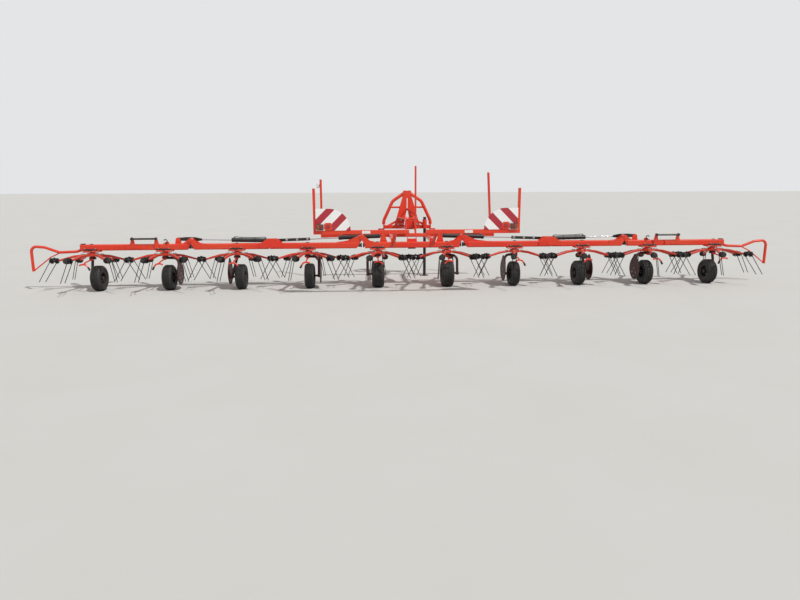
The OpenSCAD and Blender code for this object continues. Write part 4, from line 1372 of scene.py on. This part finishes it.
@dataclass(frozen=True)
class Shield:
    """The drop shape of a wrap shield, which stands beside its wheel's leg."""

    reach: float = 0.166
    radius: float = 0.170
    foot: float = 0.080
    top: float = 0.475
    tip: float = 0.045
    bead: float = 0.0055
    bolt_circle: float = 0.062
    sheet_half: float = 0.0028

    def outline(self) -> list[tuple[float, float]]:
        """Gives the outline, across and up: the large round, then the small one at the top.

        Returns:
            The outline's points about the wheel's middle, with the ground at 0.
        """
        low, high = self.foot + self.radius, self.top - self.tip
        lean = math.degrees(math.asin((self.radius - self.tip) / (high - low)))
        big = [(a, low + b) for a, b in arc(self.radius, 180 - lean, 360 + lean, 40)]
        small = [(a, high + b) for a, b in arc(self.tip, lean, 180 - lean, 12)]
        return big + small

    def build(self, machine: Machine) -> None:
        """Makes the rolled edge and notes the bolts of each wrap shield.

        Args:
            machine: the machine that gets them.
        """
        r = self.bolt_circle
        for i in SHIELDED:
            x, y, z = machine.joints[f"wheel_{i}_spin"]["pos_m"]
            out = machine.leg_side(i)
            face = x + out * self.reach
            edge = [Vector((face, y + a, b)) for a, b in self.outline()]
            body = machine.carrier(i)
            shape = Shape()
            shape.tube(edge + [edge[0]], self.bead, 8)
            shape.piece(f"shield_{i}_bead", Look.SHIELD, body, "paint")
            for py, pz in ((0.0, r), (0.0, -r), (-r, 0.0), (r, 0.0)):
                machine.bolts[body].put((face + out * self.sheet_half, y + py, z + pz), (out, 0, 0), 0.013)


@dataclass
class BeamTrim:
    """Small pieces on the beam: end plugs, transport catches, finger clutches and the link bars' pins."""

    beam_size: tuple[float, float] = (0.094, 0.084)
    beam_mid: float = 0.645
    beam_top: float = 0.690
    end: float = 5.010
    cap_x: tuple[float, float] = (4.955, 5.012)
    cap_half: float = 0.030
    catch_x: float = 3.735
    catch_lug_x: tuple[float, float] = (-0.034, 0.030)
    catch_lug_y: tuple[float, float] = (-0.044, -0.020)
    catch_lug_top: float = 0.034
    catch_y: float = -0.054
    # The catch's hook: outboard and up from its pin's foot
    catch_path: tuple[tuple[float, float], ...] = (
        (0.006, 0.006), (-0.012, 0.034), (-0.008, 0.062), (0.020, 0.070), (0.034, 0.056))
    catch_pin: tuple[float, float, float] = (-0.060, -0.014, 0.016)  # its ends along Y and its level
    link_pins: tuple[float, ...] = (1.950, 1.790, 1.630)
    link_half: float = 0.012
    link_washer: float = 0.019
    link_head: tuple[float, float] = (0.0135, 0.014)  # radius and height
    # Inner body, outer body, hinge, and where the inner and the outer half start
    clutches: tuple[tuple[str, str, float, float, float], ...] = (
        ("frame", "wing_4", 0.780, -0.046, 0.072), ("wing_3", "wing_2", 3.380, -0.054, 0.056))
    clutch_faces: tuple[float, float] = (-0.014, 0.006)
    clutch_hub: float = 0.027
    clutch_rim: float = 0.036
    clutch_flange: float = 0.012
    finger_circle: float = 0.022
    finger: tuple[float, float] = (0.007, 0.004)  # radius and length

    def build(self, machine: Machine) -> None:
        """Makes the trim on both sides.

        Args:
            machine: the machine that gets it.
        """
        y = machine.joints["rotor_1_spin"]["pos_m"][1]
        for n, s in SIDES.items():
            shape = Shape()
            plug = frame_at((s * self.end, y, self.beam_mid), (s, 0, 0), (0, 1, 0))
            shape.prism(rounded_box(*self.beam_size, 0.012, 3), plug, -0.004, 0.006, 0.002)
            x0, x1 = sorted(s * a for a in self.cap_x)
            top = self.beam_top
            shape.box((x0, y - self.cap_half, top - 0.001), (x1, y + self.cap_half, top + 0.012), 0.005)
            shape.piece(f"wing_1_{n}_plug", Look.PLASTIC, f"wing_1_{n}", "cast")
            self.catch(n, s, y)
            self.pins(machine, n)
            self.finger_clutches(n, s, y)

    def catch(self, n: str, s: int, y: float) -> None:
        """Adds the transport catch: a lug on the beam with a sprung hook.

        Args:
            n: the side's letter.
            s: the side's sign along X.
            y: the beam's place along the way it travels.
        """
        top, x, body = self.beam_top, s * self.catch_x, f"wing_2_{n}"
        lug, hook = Shape(), Shape()
        x0, x1 = sorted(x + s * a for a in self.catch_lug_x)
        y0, y1 = (y + a for a in self.catch_lug_y)
        lug.box((x0, y0, top - 0.002), (x1, y1, top + self.catch_lug_top), 0.004)
        lug.piece(f"{body}_catch", Look.BEAM, body, "paint")
        hook.tube(curved([(x + s * a, y + self.catch_y, top + b) for a, b in self.catch_path], 5), 0.0075)
        back, front, level = self.catch_pin
        hook.rod((x, y + back, top + level), (x, y + front, top + level), 0.011, 14, 0.001)
        hook.piece(f"{body}_catch_hook", Look.BLACK, body, "cast")

    def pins(self, machine: Machine, n: str) -> None:
        """Adds the bright pins along the inner cylinder's link bar.

        Args:
            machine: the machine that gets them.
            n: the side's letter.
        """
        base = Vector(machine.joints[f"inner_barrel_turn_{n}"]["pos_m"])
        along = Vector(machine.joints[f"inner_rod_slide_{n}"]["axis"])
        shape = Shape()
        for reach in self.link_pins:
            middle = base + along * ((reach - abs(base.x)) / abs(along.x))
            for way in (-1, 1):
                place = frame_at(middle + Vector((0, way * self.link_half, 0)), (0, way, 0))
                shape.prism(circle(self.link_washer, 20), place, -0.001, 0.003, 0.0008)
                shape.dome(*self.link_head, place @ Matrix.Translation((0, 0, 0.003)))
        shape.piece(f"inner_rod_{n}_pins", Look.ZINC, f"inner_rod_{n}", "piston")

    def finger_clutches(self, n: str, s: int, y: float) -> None:
        """Adds the drive's finger clutches, which part as a wing folds: one half on each side of the hinge.

        Args:
            n: the side's letter.
            s: the side's sign along X.
            y: the beam's place along the way it travels.
        """
        z = self.beam_mid
        radius, length = self.finger
        for inner, outer, hinge, *starts in self.clutches:
            for body, way, start, face in zip((inner, outer), (-1, 1), starts, self.clutch_faces):
                name = body if body == "frame" else f"{body}_{n}"
                root, edge, tip = s * (hinge + start), s * (hinge + face), s * (hinge + face - way * length)
                rim = s * (hinge + face + way * self.clutch_flange)
                shape = Shape()
                shape.rod((root, y, z), (edge, y, z), self.clutch_hub, 24, 0.003)
                shape.rod((rim, y, z), (edge, y, z), self.clutch_rim, 28, 0.0015)
                for k in range(3):
                    turned = math.radians(120 * k + 60 * (way > 0) + 15)
                    fy = y + self.finger_circle * math.cos(turned)
                    fz = z + self.finger_circle * math.sin(turned)
                    shape.rod((edge, fy, fz), (tip, fy, fz), radius, 12, 0.001)
                shape.piece(f"{name}_clutch_{n}", Look.CASTING, name, "cast")


@dataclass
class Cylinder:
    """What a fold cylinder carries: gland, ports, bands and a rigid feed pipe."""

    name: str
    length: float
    lip: float = 0.018
    radius: float = 0.032
    rod: float = 0.0112
    bore_gap: float = 0.0008
    base_port: float = 0.066
    head_port: float = 0.040
    port_radius: float = 0.011
    union_radius: float = 0.0095
    bands: tuple[float, float] = (0.22, 0.16)
    band: tuple[float, float] = (0.0025, 0.016)  # how far it stands out, and its width
    pipe_rise: float = 0.016
    pipe_radius: float = 0.0055

    def build(self, machine: Machine) -> None:
        """Makes the fittings on both sides.

        Args:
            machine: the machine that gets them.
        """
        end = self.length
        r, bore = self.radius, self.rod + self.bore_gap
        gland = [(bore, end - 0.026), (r + 0.003, end - 0.026), (r + 0.003, end + self.lip - 0.006),
                 (r - 0.004, end + self.lip), (bore, end + self.lip)]
        out, width = self.band
        for n in SIDES:
            base = machine.joints[f"{self.name}_barrel_turn_{n}"]["pos_m"]
            along = machine.joints[f"{self.name}_rod_slide_{n}"]["axis"]
            place = frame_at(base, along)
            body = f"{self.name}_barrel_{n}"
            dark, bright = Shape(), Shape()
            dark.revolve(gland, place, 32)
            for z in (self.base_port, end - self.head_port):
                up = self.up(place, z)
                dark.prism(circle(self.port_radius, 16), up, r - 0.004, r + 0.010)
                bright.prism(circle(self.union_radius, 6), up, r + 0.009, r + 0.022, 0.001)
            for z in (self.bands[0], end - self.bands[1]):
                band = [(r - 0.001, z), (r + out, z), (r + out, z + width), (r - 0.001, z + width)]
                dark.revolve(band, place, 32)
            dark.tube([place @ Vector(p) for p in curved(self.pipe(end), 4)], self.pipe_radius)
            dark.piece(f"{body}_gland", Look.BLACK, body, "cylinder")
            bright.piece(f"{body}_unions", Look.ZINC, body, "piston")

    def pipe(self, end: float) -> list[Point]:
        """Gives the feed pipe's way along the barrel, from the head's port to the base's.

        Args:
            end: the barrel's length.

        Returns:
            Points in the barrel's frame.
        """
        high = self.radius + self.pipe_rise
        steps = ((0, end - 0.046), (0.001, end - 0.075), (-0.004, end - 0.110), (-0.006, end - 0.20),
                 (-0.006, 0.22), (-0.004, 0.15), (0, 0.105), (0, 0.072))
        return [(high + rise, 0, z) for rise, z in steps]

    @staticmethod
    def up(place: Matrix, z: float) -> Matrix:
        """Gives the frame at height z of the barrel whose Z axis points up from it."""
        middle = place @ Vector((0, 0, z))
        return frame_at(middle, place.to_3x3() @ Vector((1, 0, 0)), place.to_3x3() @ Vector((0, 0, 1)))


@dataclass
class TowerTrim:
    """What the headstock's tower carries: doubling plates, a black tube along their ridge that paints the
    shadow under its edge, a latch and bolts.
    """

    face: float = 0.960
    sheet: float = 0.006
    # Ridge, slot, latch and bolts are points across and up, and feet are places across
    ridge: tuple[tuple[float, float], ...] = (
        (-0.125, 0.990), (-0.010, 1.138), (0.010, 1.138), (0.112, 1.073), (0.165, 1.030))
    slot: tuple[tuple[float, float], ...] = ((0.012, 1.112), (0.067, 0.870))
    feet: tuple[float, float] = (-0.175, 0.205)
    latch: tuple[tuple[float, float], ...] = (
        (0.046, 1.088), (0.047, 1.036), (0.052, 1.030), (0.086, 1.026))
    bolts: tuple[tuple[float, float], ...] = (
        (-0.150, 0.892), (-0.092, 0.892), (-0.105, 0.965), (0.092, 0.892), (0.172, 0.892), (0.118, 1.010))
    bolt_size: float = 0.019
    shadow_line_radius: float = 0.0045
    latch_radius: float = 0.006
    boss_radius: float = 0.012

    def build(self, machine: Machine) -> None:
        """Makes the pieces on the tower.

        Args:
            machine: the machine that gets them.
        """
        low = self.slot[1][1]
        front = self.face - self.sheet
        (sx0, sz0), (sx1, sz1) = self.slot
        left = [self.ridge[0], self.ridge[1], (-sx0, sz0), (-sx1, sz1), (self.feet[0], low)]
        right = [(sx0, sz0), *self.ridge[2:], (self.feet[1], low), (sx1, sz1)]
        plates, edge = Shape(), Shape()
        place = frame_at((0, self.face, 0), (0, -1, 0), (1, 0, 0))
        for outline in (left[::-1], right[::-1]):
            turned = [(place.inverted() @ Vector((x, 0, z))) for x, z in outline]
            plates.prism([(p.x, p.y) for p in turned], place, -0.001, self.sheet, 0.001)
        # Painted shadow: a black tube along the ridge stands for the dark shadow line under the plates' top
        # edge
        edge.tube([(x, front - 0.001, z + 0.004) for x, z in self.ridge], self.shadow_line_radius, 8)
        edge.tube(curved([(x, front - 0.006, z) for x, z in self.latch], 3), self.latch_radius, 10)
        x, z = self.latch[0]
        edge.rod((x, front - 0.013, z), (x, front + 0.002, z), self.boss_radius, 16, 0.001)
        plates.piece("tower_doublers", Look.BEAM, "headstock", "paint")
        edge.piece("tower_latch", Look.BLACK, "headstock", "cast")
        for x, z in self.bolts:
            machine.bolts["headstock"].put((x, front, z), (0, -1, 0), self.bolt_size)


# Guards, boards and lamps


@dataclass
class PostLamp:
    """The white marker lamp on the left front post."""

    post: float = -1.450
    post_half: float = 0.014
    out: float = 0.046
    along: float = 0.750
    level: float = 1.545

    def build(self, machine: Machine) -> None:
        """Makes the bracket, the case and the lens.

        Args:
            machine: the machine that gets them; not used.
        """
        x, y, z = self.post - self.out, self.along, self.level
        holder, lens = Shape(), Shape()
        end = self.post - self.post_half
        holder.box((x + 0.020, y - 0.004, z - 0.012), (end, y + 0.004, z + 0.012), 0.002)
        holder.box((x - 0.022, y - 0.010, z - 0.032), (x + 0.022, y + 0.012, z + 0.032), 0.005)
        lens.box((x - 0.019, y - 0.028, z - 0.029), (x + 0.019, y - 0.008, z + 0.029), 0.007)
        holder.piece("post_lamp_case", Look.PLASTIC, "frame", "lamp")
        lens.piece("post_lamp_lens", Look.LABEL, "frame", "lamp")


@dataclass
class RearGuard:
    """Lamps, reflectors and blank labels on the rear rail."""

    lamp_width: float = 0.100
    case_depth: float = 0.022
    lens_depth: tuple[float, float] = (0.020, 0.036)
    plate_in: float = 0.167
    plate_size: tuple[float, float, float] = (0.112, 0.104, 0.020)  # width, height and cut corner
    plate_bolt: tuple[float, float] = (0.044, 0.038)  # across and up
    # The round reflector's section: radius and how far it stands out
    disc: tuple[tuple[float, float], ...] = (
        (0.002, 0.004), (0.030, 0.004), (0.031, 0.008), (0.027, 0.0115), (0.002, 0.0125))
    board_sheet: float = 0.0053
    label_x: float = 0.72
    label_drop: float = 0.026
    label_size: tuple[float, float] = (0.115, 0.040)

    def build(self, machine: Machine) -> None:
        """Makes the guard's pieces.

        Args:
            machine: the machine that gets them.
        """
        low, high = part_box("tail_lamps")
        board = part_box("warning_boards")[0]
        red, amber, case, plate, disc = Shape(), Shape(), Shape(), Shape(), Shape()
        y, top, bottom = board.y, high.z - 0.012, low.z + 0.002
        near, far = self.lens_depth
        for s in (-1, 1):
            outer = s * (high.x - 0.004)
            inner = outer - s * self.lamp_width
            x0, x1 = sorted((outer, inner))
            case.box((x0, y - self.case_depth, bottom), (x1, y - 0.0005, top - 0.004), 0.006)
            split = (outer + inner) / 2
            for shape, a, b in ((amber, outer - s * 0.003, split + s * 0.001),
                                (red, split - s * 0.001, inner + s * 0.003)):
                x0, x1 = sorted((a, b))
                shape.box((x0, y - far, bottom + 0.004), (x1, y - near, top - 0.008), 0.006)
            middle = Vector((s * (high.x - self.plate_in), y, (top + bottom) / 2 + 0.006))
            place = frame_at(middle, (0, -1, 0), (1, 0, 0))
            plate.prism(self.octagon(*self.plate_size), place, 0.0005, 0.004, 0.0008)
            disc.revolve(self.disc, place)
            for sx in (-1, 1):
                spot = place @ Vector((sx * self.plate_bolt[0], self.plate_bolt[1], 0.004))
                machine.bolts["frame"].put(spot, (0, -1, 0), 0.008)
        first = case.piece("tail_lamp_cases", Look.PLASTIC, "frame", "lamp")
        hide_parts("tail_lamps")
        red.piece("tail_lamp_red_lenses", Look.RED_LENS, "frame", "lamp")
        amber.piece("tail_lamp_amber_lenses", Look.AMBER_LENS, "frame", "lamp")
        plate.piece("reflector_plates", Look.BEAM, "frame", "paint")
        disc.piece("round_reflectors", Look.REFLECTOR, "frame", "lamp")
        self.labels(board)

    @staticmethod
    def octagon(width: float, height: float, cut: float) -> list[tuple[float, float]]:
        """Gives the outline of a rectangle with its corners cut off.

        Args:
            width: its size along X.
            height: its size along Y.
            cut: how much is cut off along each side.

        Returns:
            The outline's points, counter-clockwise.
        """
        w, h = width / 2, height / 2
        return [(w, -h + cut), (w, h - cut), (w - cut, h), (-w + cut, h), (-w, h - cut), (-w, -h + cut),
                (-w + cut, -h), (w - cut, -h)]

    def labels(self, board: Vector) -> None:
        """Adds the blank white films on the rear rail.

        Args:
            board: the lowest corner of the warning boards' box.
        """
        shape = Shape()
        for x in (-self.label_x, self.label_x):
            middle = (x, board.y + self.board_sheet, board.z - self.label_drop)
            place = frame_at(middle, (0, -1, 0), (1, 0, 0))
            shape.prism(rounded_box(*self.label_size, 0.006), place, 0.0, 0.0008)
        shape.piece("rail_labels", Look.LABEL, "frame", "board")


# Nodes of the frame that stay


@dataclass
class FrameNodes:
    """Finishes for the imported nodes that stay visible."""

    looks: dict[str, Look] = field(default_factory=lambda: {
        "wing": Look.BEAM, "centre_frame": Look.BEAM, "rear_rail": Look.BEAM, "front_rail": Look.BEAM,
        "headstock": Look.BEAM, "main_gearbox": Look.CASTING, "parking_stand": Look.BLACK,
        "warning_boards": Look.BOARD, "inner_barrel": Look.BLACK, "outer_barrel": Look.BLACK,
        "inner_rod": Look.CHROME, "outer_rod": Look.CHROME, "rim": Look.RIM,
    })
    link_start: float = 1.57
    wedge_start: float = 3.23
    damper: tuple[float, float] = (0.752, -0.168)  # above this level and behind this place
    shield_top: float = 0.502
    end_bow: float = 5.2
    # Lowest level of a foot, lowest of the beam and highest of a foot
    foot_levels: tuple[float, float, float] = (0.5835, 0.5995, 0.6255)
    foot_half: float = 0.101
    beam_half: float = 0.0505

    def build(self, machine: Machine) -> None:
        """Dresses each node and gives some of them a second finish by place: the black on the gearbox feet is
        painted shade under the beam, and the dark red on the legs and shields is partly painted shade.

        Args:
            machine: the machine with its nodes.
        """
        for name, node in machine.frame["nodes"].items():
            look = next((v for k, v in self.looks.items() if name.startswith(k)), None)
            if look is None:
                continue
            node.data.materials.clear()
            node.data.materials.append(look.material)
            LOG.info("%s dressed as %s", name, look.name)
        level, back = self.damper
        for n in SIDES:
            self.second(machine, f"inner_rod_{n}", Look.BLACK, lambda p: abs(p.x) > self.link_start)
            self.second(machine, f"outer_rod_{n}", Look.BLACK, lambda p: abs(p.x) > self.wedge_start)
            self.second(machine, f"wing_1_{n}", Look.BLACK, lambda p: p.z > level and p.y < back)
        for body in {machine.carrier(i) for i in ROTORS}:
            node = "centre_frame" if body == "frame" else body
            # Legs and shields take the dark red, which is partly painted shade
            self.second(machine, node, Look.SHIELD, self.on_leg)
            # Painted shade: the feet just under the beam turn black to stand for the shade in the gap between
            # beam and gearbox
            self.second(machine, node, Look.BLACK, lambda p: self.on_foot_in_painted_shade(machine, p))

    def on_leg(self, point: Vector) -> bool:
        """Tells whether a point lies on a wheel's leg or its shield, and not on an end bow."""
        return point.z < self.shield_top and abs(point.x) < self.end_bow

    def on_foot_in_painted_shade(self, machine: Machine, point: Vector) -> bool:
        """Tells whether a point lies on one of the feet by which a rotor's gearbox hangs from the beam, which
        are made black as painted shade.

        Args:
            machine: the machine with its joints.
            point: the point.

        Returns:
            Whether it does.
        """
        low, beam_low, high = self.foot_levels
        if not low < point.z < high:
            return False
        spots = [machine.joints[f"rotor_{i}_spin"]["pos_m"] for i in ROTORS]
        near = any(abs(point.x - x) < self.foot_half for x, _, _ in spots)
        return near and (abs(point.y - spots[0][1]) > self.beam_half or point.z < beam_low)

    @staticmethod
    def second(machine: Machine, name: str, look: Look, test: Callable[[Vector], bool]) -> None:
        """Gives the faces of a node whose middle passes a test a second finish.

        Args:
            machine: the machine with its nodes.
            name: the node's name.
            look: the second finish.
            test: tells of a face's middle whether the face gets it.
        """
        data = machine.frame["nodes"][name].data
        data.materials.append(look.material)
        index = len(data.materials) - 1
        for face in data.polygons:
            if test(face.center):
                face.material_index = index


# Studio


@dataclass
class Studio:
    """Floor, light and the photograph's camera."""

    focal_px: float = 601.0
    picture_px: float = 800.0
    sensor_mm: float = 36.0
    eye: tuple[float, float, float] = (-0.771, -9.447, 1.597)
    yaw: float = 3.54
    pitch: float = 11.06
    roll: float = -0.15
    farthest: float = 300.0
    floor_half: float = 90.0
    sky_colour: str = "#F4F6F8"
    sky_light: float = 0.36
    sky_seen: float = 0.85
    # Name, way to the lamp, strength and angle across in degrees
    lamps: tuple[tuple[str, Point, float, float], ...] = (
        ("key", (0.42, -0.42, 0.80), 2.3, 3.0), ("fill", (-0.5, -0.6, 0.5), 0.25, 40.0))

    def build(self) -> None:
        """Makes the camera, the floor and the light."""
        self.camera()
        self.floor()
        self.sky()
        self.light()

    def camera(self) -> None:
        """Puts the camera where the photograph was taken."""
        yaw, pitch, roll = (math.radians(a) for a in (self.yaw, self.pitch, self.roll))
        ahead = Vector((math.sin(yaw) * math.cos(pitch), math.cos(yaw) * math.cos(pitch), -math.sin(pitch)))
        right = Vector((math.cos(yaw), -math.sin(yaw), 0))
        up = right.cross(ahead)
        x = right * math.cos(roll) + up * math.sin(roll)
        y = up * math.cos(roll) - right * math.sin(roll)
        data = bpy.data.cameras.new("photo_camera")
        data.sensor_width = self.sensor_mm
        data.lens = self.focal_px / self.picture_px * self.sensor_mm
        data.clip_end = self.farthest
        made = bpy.data.objects.new("photo_camera", data)
        made.matrix_world = Matrix.Translation(self.eye) @ Matrix((x, y, -ahead)).transposed().to_4x4()
        bpy.context.scene.collection.objects.link(made)
        bpy.context.scene.camera = made

    def floor(self) -> None:
        """Lays a plain pale floor."""
        data = bpy.data.meshes.new("floor")
        h = self.floor_half
        data.from_pydata([(-h, -h, 0), (h, -h, 0), (h, h, 0), (-h, h, 0)], [], [(0, 1, 2, 3)])
        data.materials.append(Look.FLOOR.material)
        made = bpy.data.objects.new("floor", data)
        bpy.context.scene.collection.objects.link(made)

    def sky(self) -> None:
        """Makes a soft even sky, brighter where the camera or a shiny surface sees it."""
        world = bpy.data.worlds.new("studio")
        world.use_nodes = True
        tree = world.node_tree
        tree.nodes.clear()
        path = add(tree, "ShaderNodeLightPath")
        seen = add(tree, "ShaderNodeMath", {"operation": "MAXIMUM"}, {
            0: path.outputs["Is Camera Ray"], 1: path.outputs["Is Glossy Ray"]})
        strength = add(tree, "ShaderNodeMapRange", links={
            "Value": seen.outputs[0], "To Min": self.sky_light, "To Max": self.sky_seen})
        sky = add(tree, "ShaderNodeBackground", links={
            "Color": linear(self.sky_colour), "Strength": strength.outputs[0]})
        add(tree, "ShaderNodeOutputWorld", links={"Surface": sky.outputs[0]})
        bpy.context.scene.world = world

    def light(self) -> None:
        """Lights the machine with a sun and a broad weak lamp."""
        for name, way, strength, angle in self.lamps:
            lamp = bpy.data.lights.new(name, "SUN")
            lamp.energy = strength
            lamp.angle = math.radians(angle)
            made = bpy.data.objects.new(name, lamp)
            made.matrix_world = frame_at((0, 0, 6), way)
            bpy.context.scene.collection.objects.link(made)
        bpy.context.scene.view_settings.view_transform = "Standard"


def main() -> None:
    """Builds the studio and every piece, in order."""
    logging.basicConfig(level=logging.INFO, format="%(message)s")
    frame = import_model()
    machine = Machine(frame, Trees())
    Studio().build()
    FrameNodes().build(machine)
    cylinders = Cylinder("inner", 0.680), Cylinder("outer", 0.580, lip=0.002)
    for part in (Rotor(), Tyre(), Hub(), Station(), BeamTrim(), Shield(), *cylinders, TowerTrim(),
                 PostLamp(), RearGuard()):
        part.build(machine)
    for bolts in machine.bolts.values():
        bolts.build(machine.trees)


if __name__ == "__main__":
    main()
